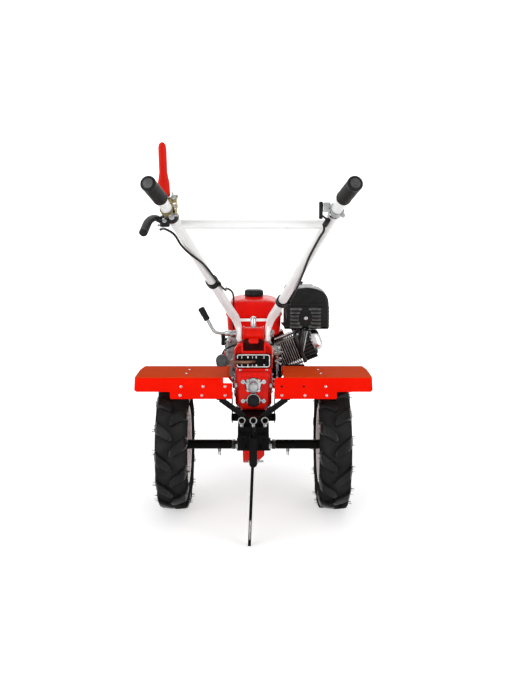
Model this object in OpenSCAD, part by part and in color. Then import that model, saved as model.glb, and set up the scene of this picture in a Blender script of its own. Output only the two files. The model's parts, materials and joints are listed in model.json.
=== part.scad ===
// Walking tractor: two driven wheels, gear drive, engine in front, handlebar behind.
// Axle frame inside the modules: X right, Y forward, Z up, axle over Y = 0, floor at Z = 0.
// Units: millimetres.

/* [Wheels] */
// Tyre diameter over the lugs
tyre_d = 470; // [450:1:490]
// Tyre section width
tyre_w = 114; // [102:1:122]
// Height of the lugs
lug_h = 17; // [10:1:22]
// Lugs on each half of the tread
lug_count = 13; // [8:1:16]
// Diameter of the bead seat
bead_d = 253; // [240:1:262]
// Distance between the tyre centres
track = 572; // [560:2:640]

/* [Axle] */
// Diameter of the drive shafts
shaft_d = 28; // [24:1:32]
// Outside diameter of the axle tubes
axle_tube_d = 34; // [33:1:40]

/* [Gearbox] */
// Width of the upper case
case_w = 120; // [110:2:128]
// Height of the top of the case
case_top = 545; // [540:1:550]
// Radius of the lobe round the axle
lobe_r = 68; // [60:1:74]
// Diameter of the plated cap
cap_d = 34; // [28:1:40]
// Diameter of the black plug
plug_d = 39; // [34:1:42]

/* [Engine] */
// Height of the crankshaft
crank_z = 490; // [480:1:500]
// Slope of the cylinder above the horizon
cyl_tilt = 22; // [18:1:26]
// Rear face of the crankcase ahead of the axle
engine_y = 150; // [140:1:160]
// Number of cylinder fins
fin_count = 8; // [5:1:9]
// Width of the tank at its seam
tank_w = 216; // [190:2:220]
// Length of the tank
tank_l = 250; // [220:2:260]
// Width of the muffler guard
guard_w = 170; // [150:2:180]

/* [Handlebar] */
// Outside diameter of the handlebar tubes
bar_d = 30; // [26:1:34]
// Grip ends behind the axle
rear_reach = 995; // [940:5:1010]
// Height of the grip ends
grip_z = 1172; // [1140:2:1200]
// Half the distance between the grip ends
grip_half = 255; // [240:1:270]
// Diameter of the grips
grip_d = 40; // [36:1:44]
// Height of the clamp pivot
pivot_z = 660; // [650:1:670]
// Diameter of the clamp bolt
pivot_d = 16; // [14:1:20]

/* [Guards and hitch] */
// Width over both wheel guards
guards_w = 816; // [790:2:850]
// Clear height of the guards' flat top above the tyre
guard_clear = 53; // [45:1:65]
// Sheet thickness of the guards
sheet = 3; // [2:0.5:5]
// Width of the hitch
hitch_w = 105; // [90:1:110]
// Radius of the cross bore for implements
hitch_bore_r = 8.1; // [6:0.1:10]
// Thickness of the coulter bar
coulter_t = 10; // [8:1:12]
// Sideways lean of the coulter in its loose socket
coulter_lean = 2.4; // [0:0.2:2.4]
// Radius of the tow bore at the front
tow_bore_r = 8.1; // [6:0.1:9]
// Front guard ahead of the axle
front_reach = 530; // [510:5:560]

/* [Hidden] */
fit = 0.05;
gap = 0.3;
axle_z = tyre_d / 2;
guards_top = tyre_d + guard_clear;
guards_low = guards_top - 76;
carcass_r = tyre_d / 2 - lug_h;
bead_r = bead_d / 2;
shaft_r = shaft_d / 2;
wheel_x = track / 2;
rim_half = tyre_w * 0.4;
disc_x = wheel_x - 22;
axle_y = (rear_reach - front_reach) / 2;
pivot_y = -90;
barrel_r = 22;
lug_r = 27;
barrel_half = 38;
bar_r = bar_d / 2;
cover_y = -132;
flange_y = -190;
hitch_y = -134;
coulter_y = -322;
guard_x = tank_w / 2 + 6;
air_x = tank_w / 2 + 10;
tank_seam_z = 686;
cable_r = 3.5;
clip_r = bar_r + 5;
on_bar = bar_r + cable_r + gap;
on_clip = clip_r + cable_r + gap;
clip_left_t = 0.381;
clip_right_t = 0.2;
stop_t = 0.927;
clutch_t = 0.89;
throttle_t = 0.922;

$fn = 64;

red = [0.80, 0.10, 0.08];
black = [0.07, 0.07, 0.08];
white = [0.90, 0.90, 0.88];
steel = [0.72, 0.73, 0.75];
alloy = [0.58, 0.59, 0.60];
rubber = [0.05, 0.05, 0.05];
zinc = [0.66, 0.60, 0.36];

// Points on an arc from angle a to angle b.
function arc(cx, cy, r, a, b, n = 8) =
  [for (i = [0:n]) [cx + r * cos(a + (b - a) * i / n), cy + r * sin(a + (b - a) * i / n)]];

// Outline of a rectangle with rounded corners.
function round_rect(x0, y0, x1, y1, r, n = 5) = concat(
  arc(x1 - r, y0 + r, r, -90, 0, n), arc(x1 - r, y1 - r, r, 0, 90, n),
  arc(x0 + r, y1 - r, r, 90, 180, n), arc(x0 + r, y0 + r, r, 180, 270, n));

// Point at t on a smooth curve through the points p, which runs past them at both ends.
function spline_at(p, i, t) =
  let (n = len(p) - 1, a = p[max(i - 1, 0)], b = p[i], c = p[i + 1], d = p[min(i + 2, n)])
  0.5 * (2 * b + (c - a) * t + (2 * a - 5 * b + 4 * c - d) * t * t
    + (3 * b - a - 3 * c + d) * t * t * t);

function spline(p, k) = concat(
  [for (i = [0:len(p) - 2], j = [0:k - 1]) spline_at(p, i, j / k)], [p[len(p) - 1]]);

function unit(v) = v / norm(v);

function tangent(p, i) = unit(p[min(i + 1, len(p) - 1)] - p[max(i - 1, 0)]);

// Ring of points round point c, across direction t; ref is any direction that t never takes.
function ring(c, t, r, sides, ref) =
  let (u = unit(cross(t, ref)), v = cross(t, u))
  [for (k = [0:sides - 1]) c + r * (cos(360 * k / sides) * u + sin(360 * k / sides) * v)];

// Round bar or cable along the points p.
module sweep(p, r, sides = 10, ref = [1, 0, 0]) {
  n = len(p);
  rings = [for (i = [0:n - 1]) each ring(p[i], tangent(p, i), r, sides, ref)];
  walls = [for (i = [0:n - 2], k = [0:sides - 1]) let (m = (k + 1) % sides)
    [i * sides + k, (i + 1) * sides + k, (i + 1) * sides + m, i * sides + m]];
  first = [[for (k = [0:sides - 1]) k]];
  last = [[for (k = [sides - 1:-1:0]) (n - 1) * sides + k]];
  polyhedron(rings, concat(walls, first, last), convexity = 6);
}

// Straight rod from a to b.
module rod(a, b, r) {
  d = b - a;
  translate(a) rotate([0, acos(d.z / norm(d)), atan2(d.y, d.x)]) cylinder(r = r, h = norm(d));
}

// Prism: an outline in X and Z, carried along Y from y0 to y1.
module prism_y(y0, y1) {
  translate([0, y1, 0]) rotate([90, 0, 0]) linear_extrude(y1 - y0) children();
}

// Prism: an outline in Y and Z, carried along X from x0 to x1.
module prism_x(x0, x1) {
  translate([x0, 0, 0]) rotate([90, 0, 90]) linear_extrude(x1 - x0) children();
}

// Cylinder along X from x0 to x1.
module rod_x(x0, x1, y, z, r) {
  translate([x0, y, z]) rotate([0, 90, 0]) cylinder(r = r, h = x1 - x0);
}

// Cylinder along Y from y0 to y1.
module rod_y(x, y0, y1, z, r) {
  translate([x, y1, z]) rotate([90, 0, 0]) cylinder(r = r, h = y1 - y0);
}

// Turns a shape made about the Z axis so that its axis lies on the axle.
module on_axle(x) {
  translate([x, 0, axle_z]) rotate([0, 90, 0]) children();
}

// Wheels

// Half of the tyre's section, from the bead out to the crown.
function tyre_half() = [
  [bead_r + gap, rim_half - 4], [bead_r + 13, rim_half - 3], [bead_r + 30, tyre_w * 0.45],
  [bead_r + 50, tyre_w * 0.5], [carcass_r - 22, tyre_w * 0.485], [carcass_r - 6, tyre_w * 0.43],
  [carcass_r, tyre_w * 0.3]];

// Half of the air space inside the tyre.
function tyre_air() = [
  [bead_r - 5, rim_half - 18], [bead_r + 14, rim_half - 16], [bead_r + 30, tyre_w * 0.45 - 10],
  [bead_r + 50, tyre_w * 0.5 - 9], [carcass_r - 24, tyre_w * 0.485 - 10], [carcass_r - 15, tyre_w * 0.3]];

module mirrored_outline(half) {
  polygon(concat(half, [for (i = [len(half) - 1:-1:0]) [half[i].x, -half[i].y]]));
}

module lug_bars(side, offset) {
  for (i = [0:lug_count - 1])
    rotate([0, 0, 360 * (i + offset) / lug_count])
      translate([carcass_r, 0, side * tyre_w * 0.25])
        rotate([side * 38, 0, 0])
          cube([lug_h * 3, 26, tyre_w * 0.74], center = true);
}

module lug_ring(z0, z1) {
  rotate_extrude()
    polygon([[carcass_r - 8, z0], [carcass_r + lug_h - (abs(z0) > abs(z1) ? 5 : 0), z0],
      [carcass_r + lug_h - (abs(z1) > abs(z0) ? 5 : 0), z1], [carcass_r - 8, z1]]);
}

module tyre(side) {
  color(rubber) on_axle(side * wheel_x) {
    rotate_extrude() difference() {
      mirrored_outline(tyre_half());
      mirrored_outline(tyre_air());
    }
    intersection() {
      lug_bars(1, 0);
      lug_ring(-2, tyre_w * 0.46);
    }
    intersection() {
      lug_bars(-1, 0.5);
      lug_ring(-tyre_w * 0.46, 2);
    }
  }
}

module rim(side) {
  w = rim_half;
  s = 3.5;
  d = side * (disc_x - wheel_x);
  color(white) on_axle(side * wheel_x) {
    rotate_extrude()
      polygon([
        [bead_r + 15, -w - s], [bead_r + 15, -w], [bead_r, -w], [bead_r, -w + 16],
        [bead_r - 13, -w + 22], [bead_r - 13, w - 22], [bead_r, w - 16], [bead_r, w],
        [bead_r + 15, w], [bead_r + 15, w + s], [bead_r - s, w + s], [bead_r - s, w - 15],
        [bead_r - 13 - s, w - 20], [bead_r - 13 - s, -w + 20], [bead_r - s, -w + 15],
        [bead_r - s, -w - s]]);
    difference() {
      rotate_extrude()
        polygon([[24, d - 3], [24, d + 3], [72, d + 3], [82, d + side * 9 + 3],
          [bead_r - 14, d + side * 9 + 3], [bead_r - 14, d + side * 9 - 3],
          [82, d + side * 9 - 3], [72, d - 3]]);
      for (a = [45:90:315])
        rotate([0, 0, a]) translate([54, 0, d - 20]) cylinder(r = 6.5, h = 40);
    }
  }
}

module axle_tube(side) {
  color(black) on_axle(0) {
    difference() {
      union() {
        translate([0, 0, side > 0 ? 80 : -disc_x + 3]) cylinder(d = axle_tube_d, h = disc_x - 83);
        translate([0, 0, side > 0 ? disc_x - 11 : -disc_x + 3]) cylinder(r = 66, h = 8);
        translate([0, 0, side > 0 ? disc_x - 11 : -disc_x - 12]) cylinder(r = 23, h = 23);
        translate([0, 0, side > 0 ? 80 : -104]) cylinder(d = axle_tube_d + 8, h = 24);
      }
      translate([0, 0, -400]) cylinder(r = shaft_r + gap, h = 800);
      translate([0, 0, side * 125]) rotate([0, 90, 0]) cylinder(r = 4.3, h = 100, center = true);
    }
    for (a = [45:90:315])
      rotate([0, 0, a]) translate([54, 0, side > 0 ? disc_x - 4 : -disc_x - 13])
        cylinder(r = 6, h = 17);
    for (a = [45:90:315])
      rotate([0, 0, a]) translate([54, 0, side > 0 ? disc_x + 3.3 : -disc_x - 11.3])
        cylinder(r = 10, h = 8, $fn = 6);
  }
}

module axle_shaft(side) {
  a = side > 0 ? 24 : -(disc_x + 6);
  color(steel) on_axle(0)
    difference() {
      union() {
        translate([0, 0, a]) cylinder(r = shaft_r, h = disc_x + 6 - 24);
        translate([0, 0, side > 0 ? 67 : -79]) cylinder(r = shaft_r + 12, h = 12, $fn = 6);
      }
      translate([0, 0, side * 125]) rotate([0, 90, 0]) cylinder(r = 4.3, h = 100, center = true);
    }
}

module axle_clip(side) {
  x = side * 125;
  t = axle_tube_d / 2;
  color(steel) translate([x, 0, axle_z]) {
    translate([0, 0, -t - 10]) cylinder(r = 4, h = 2 * t + 16);
    translate([0, 0, -t - 17]) rotate([90, 0, 0]) rotate_extrude() translate([10, 0]) circle(r = 2);
  }
}

// Gearbox

module gearbox_case() {
  color(red) difference() {
    union() {
      difference() {
        prism_x(-39, 39)
          polygon(concat(arc(0, axle_z, lobe_r, 215, 345, 14),
            [[102, 324], [102, 450], [-126, 450], [-126, 318]]));
        prism_y(-100, 100) polygon([[8, 150], [60, 150], [60, 212], [40, 212], [12, 184]]);
      }
      prism_x(-case_w / 2, case_w / 2)
        polygon([[cover_y, 402], [-120, 394], [88, 394], [102, 408], [102, case_top - 12],
          [90, case_top], [-122, case_top], [cover_y, case_top - 10]]);
      rod_x(-62, 62, 0, axle_z, 25);
      for (s = [-1, 1]) {
        rod_x(s > 0 ? 55 : -66, s > 0 ? 66 : -55, -30, 470, 38);
        rod_x(s > 0 ? 36 : -56, s > 0 ? 56 : -36, 40, 352, 34);
      }
    }
    rod_x(23, 80, 0, axle_z, shaft_r + fit);
    rod_x(-80, -23, 0, axle_z, shaft_r + fit);
  }
}

module gearbox_cover() {
  hw = case_w / 2 + 3;
  color(red) {
    prism_y(cover_y - 14, cover_y)
      polygon(concat([[-hw + 22, 400], [hw - 22, 400], [hw, 420]],
        arc(hw - 10, case_top - 11, 10, 0, 90, 5), arc(-hw + 10, case_top - 11, 10, 90, 180, 5),
        [[-hw, 420]]));
    prism_y(cover_y - 38, cover_y - 10)
      polygon(concat([[-hw + 26, 407], [hw - 26, 407], [hw - 8, 423]],
        arc(hw - 18, case_top - 19, 10, 0, 90, 5), arc(-hw + 18, case_top - 19, 10, 90, 180, 5),
        [[-hw + 8, 423]]));
  }
}

module pto_cap() {
  y = cover_y - 38;
  color(steel) {
    rod_y(0, y - 10, y, 496, 24);
    rod_y(0, y - 42, y - 8, 496, cap_d / 2);
    for (s = [-1, 1]) {
      prism_y(y - 8, y) polygon(round_rect(min(0, s * 43), 506, max(0, s * 43), 524, 8));
      rod_y(s * 34, y - 14, y - 4, 515, 8);
    }
  }
}

module pto_ring() {
  y = cover_y - 38;
  color(steel) difference() {
    union() {
      rod_y(0, y - 10, y, 440, plug_d / 2 + 4);
      prism_y(y - 6, y) polygon(round_rect(-43, 431, 43, 449, 8));
      for (s = [-1, 1]) rod_y(s * 34, y - 12, y - 4, 440, 7);
    }
    rod_y(0, y - 20, y - 2, 440, plug_d / 2 + gap);
  }
}

module pto_plug() {
  y = cover_y - 38;
  color(black) {
    rod_y(0, y - 15, y - 2, 440, plug_d / 2);
    rod_y(0, y - 18, y - 12, 440, plug_d / 2 - 6);
  }
}

module gear_plate() {
  color(black) difference() {
    prism_y(-144, -136) polygon(round_rect(-59, case_top + 2, 59, 596, 9));
    translate([-70, -150, 562]) cube([112, 20, 15]);
  }
}

function gear_path() = spline([[20, -118, 567], [2, -134, 568], [-18, -152, 569],
  [-50, -160, 570], [-84, -162, 571], [-100, -163, 573]], 4);

module gear_lever() {
  color(steel) sweep(gear_path(), 5.5, 12, [0, 0, 1]);
}

module gear_knob() {
  outline = concat([[0, 552], [16, 552], [19, 556]], arc(0, 577, 21.5, -20, 88, 12), [[0, 598.5]]);
  color(black) translate([-108, -163, 0]) difference() {
    rotate_extrude() polygon(outline);
    translate([4, 0, 572]) rotate([0, 90, 0]) cylinder(r = 6.5, h = 40);
  }
}

// Engine

module clutch_housing() {
  color(alloy) {
    rod_y(0, 102 + gap, engine_y - 14, crank_z - 20, 74);
    rod_y(0, engine_y - 20, engine_y - 1 - gap, crank_z, 92);
  }
}

module engine_rails() {
  color(black) {
    for (s = [-1, 1]) difference() {
      translate([s * 46 - 16, 102 + gap, 330]) cube([32, front_reach - 156, 26]);
      translate([s * 46 - 16 + (s > 0 ? -4 : 4), 96, 334]) cube([32, front_reach, 18]);
    }
    translate([-62, 102 + gap, 330]) cube([124, 8, 62]);
    translate([-62, front_reach - 56, 330]) cube([124, 8, 46]);
    for (y = [170, 270]) translate([-62, y, 350]) cube([124, 30, 6]);
  }
}

module crankcase() {
  y0 = engine_y;
  color(alloy) difference() {
    union() {
      prism_y(y0, y0 + 140)
        polygon([[-64, 356 + gap], [64, 356 + gap], [64, 402], [84, 436], [84, 540], [60, 606],
          [-88, 606], [-104, 590], [-104, 486], [-82, 448], [-64, 402]]);
      rod_y(0, y0 - 1, y0 + 2, crank_z, 92);
      on_cylinder() translate([50, -56, -56]) cube([53.7, 112, 112]);
    }
    prism_y(y0 + 14, y0 + 150)
      polygon([[-50, 372], [50, 372], [50, 406], [70, 440], [70, 530], [54, 592], [-82, 592],
        [-90, 580], [-90, 490], [-68, 452], [-50, 406]]);
  }
}

// Places a shape on the cylinder's line: local X runs out along the cylinder.
module on_cylinder() {
  translate([0, engine_y + 72, crank_z]) rotate([0, -cyl_tilt, 0]) children();
}

module cylinder_fins() {
  step = 74 / fin_count;
  for (i = [0:fin_count - 1])
    translate([108 + i * step, -62, -62]) cube([step * 0.45, 124, 124]);
}

module cylinder_block() {
  color(alloy) on_cylinder() {
    cylinder_fins();
    rotate([0, 90, 0]) translate([0, 0, 104]) cylinder(r = 47, h = 78);
  }
}

module cylinder_head() {
  color(alloy) on_cylinder() {
    translate([182.3, -60, -58]) cube([26, 120, 116]);
    for (i = [0:3]) translate([208, -60, -58 + i * 34]) cube([36, 120, 10]);
    translate([208, -44, -44]) cube([38, 88, 96]);
  }
}

module valve_cover() {
  color(steel) on_cylinder() {
    translate([246, 0, 6]) rotate([0, 90, 0]) linear_extrude(20) polygon(round_rect(-46, -36, 46, 36, 14));
    translate([266, 0, 6]) rotate([0, 90, 0]) linear_extrude(12) polygon(round_rect(-38, -28, 38, 28, 12));
  }
}

module fan_housing() {
  y0 = engine_y + 140 + gap;
  t = 2.5;
  color(red) difference() {
    union() {
      rod_y(0, y0, y0 + 84, crank_z, 122);
      translate([0, y0, crank_z + 20]) cube([118, 84, 98]);
    }
    rod_y(0, y0 - 1, y0 + 84 - t, crank_z, 122 - t);
    translate([0, y0 - 1, crank_z + 20 + t]) cube([118 - t, 85 - t, 98 - 2 * t]);
  }
}

module recoil_starter() {
  y = engine_y + 224 + 2 * gap;
  t = 2.5;
  color(black) {
    difference() {
      union() {
        rod_y(0, y, y + 34, crank_z, 108);
        rod_y(0, y + 30, y + 43, crank_z, 70);
      }
      rod_y(0, y - 1, y + 34 - t, crank_z, 108 - t);
      rod_y(0, y - 1, y + 43 - t, crank_z, 70 - t);
    }
    translate([-120, y + 4, crank_z + 50]) cube([36, 24, 26]);
    rod([-124, y + 16, crank_z + 46], [-124, y + 16, crank_z + 92], 9);
  }
}

// Half of the tank's outline, inset by t.
function tank_half(t) =
  let (hw = tank_w / 2) concat([[hw - 14 - t, 616 + t], [hw - 6 - t, 640], [hw - 4 - t, tank_seam_z]],
    arc(hw - 34, 728, 16 - t, 20, 80, 4), [[0, 750 - t]]);

module tank_outline(t) {
  h = tank_half(t);
  polygon(concat(h, [for (i = [len(h) - 2:-1:0]) [-h[i].x, h[i].y]]));
}

module fuel_tank() {
  y0 = engine_y + 6;
  color(red) difference() {
    union() {
      prism_y(y0, y0 + tank_l) tank_outline(0);
      translate([-tank_w / 2, y0 - 6, tank_seam_z - 4]) cube([tank_w, tank_l + 12, 6]);
      for (x = [-70, 30]) translate([x, y0 + 12, 606 + gap]) cube([24, 100, 11]);
    }
    prism_y(y0 + 1.6, y0 + tank_l - 1.6) tank_outline(1.6);
    translate([0, engine_y + 120, 740]) cylinder(r = 22, h = 40);
  }
}

module fuel_cap() {
  color(black) translate([0, engine_y + 120, 0]) {
    translate([0, 0, 750.3]) cylinder(r = 30, h = 10);
    translate([0, 0, 758]) cylinder(r = 35, h = 18, $fn = 48);
  }
}

module muffler() {
  x0 = guard_x + 14;
  w = guard_w - 28;
  color(steel) {
    difference() {
      translate([x0, 190, 642]) cube([w, 90, 100]);
      translate([x0 + 3, 193, 645]) cube([w - 6, 84, 94]);
      translate([x0 + w / 2, 235, 730]) cylinder(r = 14, h = 30);
    }
    on_cylinder() translate([226, 12, 54 + gap]) cylinder(r = 14, h = 26);
    for (x = [x0 + 12, x0 + w - 12]) {
      rod_y(x, 172 + gap, 191, 700, 6);
      rod_y(x, 279, 296 - gap, 700, 6);
    }
  }
}

module muffler_guard() {
  x0 = guard_x;
  x1 = guard_x + guard_w;
  t = 2;
  color(black) difference() {
    prism_y(170, 298) polygon(concat([[x0, 634], [x1, 634]], arc(x1 - 40, 753, 40, 0, 80, 6),
      arc(x0 + 34, 759, 34, 95, 180, 6)));
    prism_y(170 + t, 298 - t) polygon(concat([[x0 + t, 620], [x1 - t, 620]],
      arc(x1 - 40, 753, 40 - t, 0, 80, 6), arc(x0 + 34, 759, 34 - t, 95, 180, 6)));
    for (s = [0, 1], i = [0:5]) {
      far = i == 0 || i == 5 ? 0 : 8;
      translate([x0 + 24 + s * (76 + far), 165, 646 + i * 14]) cube([48 - far, 12, 5]);
    }
  }
}

module air_cleaner() {
  color(black) {
    translate([air_x, 312, 640]) cube([124, 128, 26]);
    prism_x(air_x + 2, air_x + 122) polygon(round_rect(316, 660, 436, 782, 30));
  }
}

module carburettor() {
  x = air_x + 67;
  color(alloy) {
    translate([x - 30, 314, 562]) cube([60, 60, 58]);
    translate([x, 344, 536]) cylinder(r = 22, h = 30);
    translate([x, 344, 610]) cylinder(r = 24, h = 30 - gap);
    rod_y(x, engine_y + 132 + gap, 316, 585, 15);
  }
}

// Handlebar mounting

module pedestal() {
  b = barrel_half;
  color(red) difference() {
    union() {
      for (s = [-1, 1]) {
        prism_x(s > 0 ? 36 : -50, s > 0 ? 50 : -36)
          polygon([[-136, case_top], [-40, case_top], [-40, 612], [-60, 624], [-104, 626], [-120, 632],
            [-136, 632]]);
        prism_x(s > 0 ? 49 : -66, s > 0 ? 66 : -49)
          polygon([[-136, case_top], [-50, case_top], [-50, 596], [-70, 608], [-136, 622]]);
      }
      prism_x(-37, 37) polygon([[-66, case_top], [-40, case_top], [-40, 650], [-66, 650]]);
      prism_x(-26, 26) polygon([[-92, 640], [-60, 622], [-40, 640], [-40, 664], [-74, 676], [-92, 676]]);
      rod_x(-b, b, pivot_y, pivot_z, barrel_r);
      rod_x(-b, -b + 8, pivot_y, pivot_z, barrel_r + 3);
      rod_x(b - 8, b, pivot_y, pivot_z, barrel_r + 3);
    }
    rod_x(-100, 100, pivot_y, pivot_z, pivot_d / 2 + fit);
  }
}

// Wheel guards

module wheel_guard(side) {
  outer = guards_w / 2;
  inner = 103;
  t = sheet;
  z = guards_top;
  m = side < 0 ? [1, 0, 0] : [0, 0, 0];
  notch = side < 0 ? 20 : 0.1;
  color(red) mirror(m) {
    prism_y(flange_y, flange_y + t)
      polygon([[inner, z], [inner, z - notch], [72, z - notch], [72, guards_low], [282, guards_low],
        [286, guards_low + 4], [286, z - 51], [outer - 8, z - 51], [outer, z - 43], [outer - 3, z]]);
    translate([0, 0, z - t]) linear_extrude(t)
      polygon([[inner, flange_y], [outer - 3, flange_y], [outer - 24, 20], [inner, 20]]);
    prism_x(inner, outer - 24)
      polygon([[18, z - t], [20, z], [104, z - 46], [102, z - 46 - t]]);
  }
}

// Flat bar from a to b, w wide and t thick.
module flat_bar(a, b, w, t) {
  d = b - a;
  translate(a) rotate([0, acos(d.z / norm(d)), atan2(d.y, d.x)])
    translate([-w / 2, -t / 2, 0]) cube([w, t, norm(d)]);
}

module guard_braces() {
  y = flange_y + sheet + gap;
  color(black) {
    prism_y(hitch_y + gap, -126 - gap) polygon(round_rect(-78, 355, 78, 382, 5));
    for (s = [-1, 1]) {
      translate([s * 43.5 - 8.5, -230, 366 + gap]) cube([17, 28, 6]);
      flat_bar([s * 43.5, -216, 374], [s * 112, y + 10, guards_low + 5], 14, 6);
      translate([s * 73.5 - 1.5, y, 360]) cube([3, -126 - gap - y, guards_low - 347]);
      prism_y(y, y + 8)
        polygon(round_rect(s * 112 - 16, guards_low - 5, s * 112 + 16, guards_low + 29, 6));
    }
  }
}

// Hitch and coulter

module hitch() {
  h = hitch_w / 2;
  color(black) difference() {
    union() {
      prism_x(-h, h)
        polygon([[hitch_y, 366], [hitch_y, 293], [-290, 293], [-290, 345], [-262, 345], [-262, 366]]);
      prism_x(-34, 34) polygon([[hitch_y, 394], [hitch_y, 360], [-238, 360], [-238, 394]]);
      prism_y(-352, -289) polygon(concat(arc(0, 266, 13, 180, 360, 10), [[13, 352], [-13, 352]]));
    }
    translate([-h + 8, -282, 280]) cube([hitch_w - 16, 142, 57]);
    translate([-coulter_t / 2 - 2.6, coulter_y - 25, 240]) cube([coulter_t + 5.2, 50, 130]);
    rod_x(-80, 80, -256, 314, hitch_bore_r);
    rod_x(-30, 30, coulter_y, 266, 4);
    for (s = [-1:1]) translate([s * 39, -250, 330]) cylinder(r = 6.3, h = 50);
  }
}

module hitch_pins() {
  color(steel) for (s = [-1:1]) translate([s * 39, -250, 0]) {
    translate([0, 0, 338]) cylinder(r = 6, h = 36);
    translate([0, 0, 366]) cylinder(r = 8, h = 9);
    translate([0, 0, 386]) rotate([90, 0, 0]) rotate_extrude() translate([11, 0]) circle(r = 2.2, $fn = 12);
  }
}

module coulter() {
  t = coulter_t / 2;
  color(black) translate([0, 0, 305]) rotate([0, coulter_lean, 0]) translate([0, 0, -305])
    difference() {
      prism_x(-t, t) polygon([[coulter_y - 23, 372], [coulter_y - 23, 230], [-410, 24], [-398, 0],
        [-384, 2], [coulter_y + 23, 200], [coulter_y + 23, 372]]);
      rod_x(-30, 30, coulter_y, 266, 4.6);
      rod_x(-30, 30, -381, 84, 5);
    }
}

module coulter_pin() {
  color(steel) {
    rod_x(-17, 34, coulter_y, 266, 3.6);
    rod_x(13.2, 16, coulter_y, 266, 8);
  }
}

module clutch_linkage() {
  color(steel) {
    translate([58, 36, 560]) cube([36, 26, 8]);
    rod([84, 48, 470], [84, 48, 575], 4);
    translate([84, 48, 552]) cylinder(r = 8, h = 8.5, $fn = 6);
    translate([60, 40, 466]) cube([32, 16, 8]);
    translate([60, 40, case_top]) cube([12, 16, 20]);
  }
}

module front_guard() {
  y = front_reach - 9;
  b = front_reach - 48;
  color(black) {
    sweep(spline([[-74, b + 8, 372], [-104, y - 14, 385], [-130, y, 420], [-130, y, 470], [-95, y, 510],
      [0, y, 516], [95, y, 510], [130, y, 470], [130, y, 420], [104, y - 14, 385], [74, b + 8, 372]], 4),
      9, 12, [0, 1, 0]);
    difference() {
      translate([-30, b, 338]) cube([60, 48, 10]);
      translate([0, front_reach - 32, 330]) cylinder(r = tow_bore_r, h = 30);
    }
    translate([-90, b, 338]) cube([180, 6, 40]);
  }
}

// Handlebar

function bend_at() = [60, -115, 710];
function grip_start() = [grip_half - 20, 109 - rear_reach, grip_z - 38];
function grip_end() = [grip_half, 8 - rear_reach, grip_z];
function bar_axis(t) = bend_at() + (grip_start() - bend_at()) * t;
function flip(p, s) = [s * p.x, p.y, p.z];

function bar_path(s) =
  let (a = [54, pivot_y - 6, pivot_z + 30], b = bend_at(), c = grip_start(), d = grip_end())
  [for (q = concat([a], spline([a + (b - a) * 0.45, b + [4, -14, 12], bar_axis(0.08)], 5),
    [bar_axis(0.5), bar_axis(0.93)], spline([bar_axis(0.96), c + (d - c) * 0.1, c + (d - c) * 0.3], 3),
    [d - (d - c) * 0.06])) flip(q, s)];

module handlebar() {
  b = barrel_half + gap;
  p = bar_axis(0.831);
  q = bend_at();
  color(white) {
    for (s = [-1, 1]) {
      sweep(bar_path(s), bar_r, 16);
      difference() {
        union() {
          rod_x(s > 0 ? b : -b - 22, s > 0 ? b + 22 : -b, pivot_y, pivot_z, lug_r);
          prism_x(s > 0 ? b : -b - 22, s > 0 ? b + 22 : -b)
            polygon([[pivot_y - 26, pivot_z], [pivot_y + 18, pivot_z], [pivot_y + 2, pivot_z + 46],
              [pivot_y - 36, pivot_z + 46]]);
        }
        rod_x(-100, 100, pivot_y, pivot_z, pivot_d / 2 + gap);
      }
    }
    rod_x(-p.x, p.x, p.y, p.z, 12);
    rod_x(-q.x, q.x, q.y, q.z, 5);
  }
}

module lock_plunger() {
  q = bend_at();
  color(steel) difference() {
    union() {
      translate([0, q.y, q.z - 26]) cylinder(r = 10, h = 36);
      translate([0, q.y, q.z + 8]) cylinder(r = 7, h = 5);
    }
    rod_x(-30, 30, q.y, q.z, 5 + fit);
  }
}

module grip(side) {
  a = flip(grip_start() + (grip_end() - grip_start()) * 0.0, side);
  b = flip(grip_end(), side);
  color(rubber) difference() {
    rod(a, b, grip_d / 2);
    rod(a - (b - a), a + (b - a) * 0.95, bar_r + 3 * gap);
  }
}

module clamp_bolt() {
  r = pivot_d / 2;
  e = barrel_half + gap + 22;
  color(steel) {
    rod_x(-e - 40, e + 12, pivot_y, pivot_z, r);
    rod_x(-e - 38, -e - gap, pivot_y, pivot_z, r + 2);
    rod_x(e + gap, e + 10, pivot_y, pivot_z, 14);
    sweep(spline([[-e - 36, pivot_y, pivot_z], [-e - 66, pivot_y, pivot_z + 2],
      [-138, pivot_y, pivot_z + 8], [-149, pivot_y, pivot_z + 26], [-160, pivot_y, pivot_z + 46]], 4),
      4.6, 10, [0, 1, 0]);
  }
}

module clamp_grip() {
  color(rubber) rod([-160.2, pivot_y, pivot_z + 46.4], [-184, pivot_y, pivot_z + 90], 10);
}

module stop_lever() {
  p = flip(bar_axis(stop_t), -1);
  color(red) translate([p.x - 8, p.y, p.z + 34.3]) rotate([14, 0, 0])
    prism_y(-5, 5) polygon(concat([[-16, 0], [16, 0], [15, 38], [10.5, 64]],
      arc(0, 132, 10.5, 0, 180, 10), [[-10.5, 64], [-15, 38]]));
}

module stop_bracket() {
  p = flip(bar_axis(stop_t), -1);
  a = flip(bar_axis(stop_t - 0.012), -1);
  b = flip(bar_axis(stop_t + 0.012), -1);
  color(zinc) difference() {
    union() {
      rod(a, b, bar_r + 4);
      translate([p.x + 12, p.y - 9, p.z - 20]) cube([13, 18, 66]);
      translate([p.x - 18, p.y - 9, p.z + 18]) cube([40, 18, 15]);
    }
    rod(a - 4 * (b - a), b + 4 * (b - a), bar_r + gap);
  }
}

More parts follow.
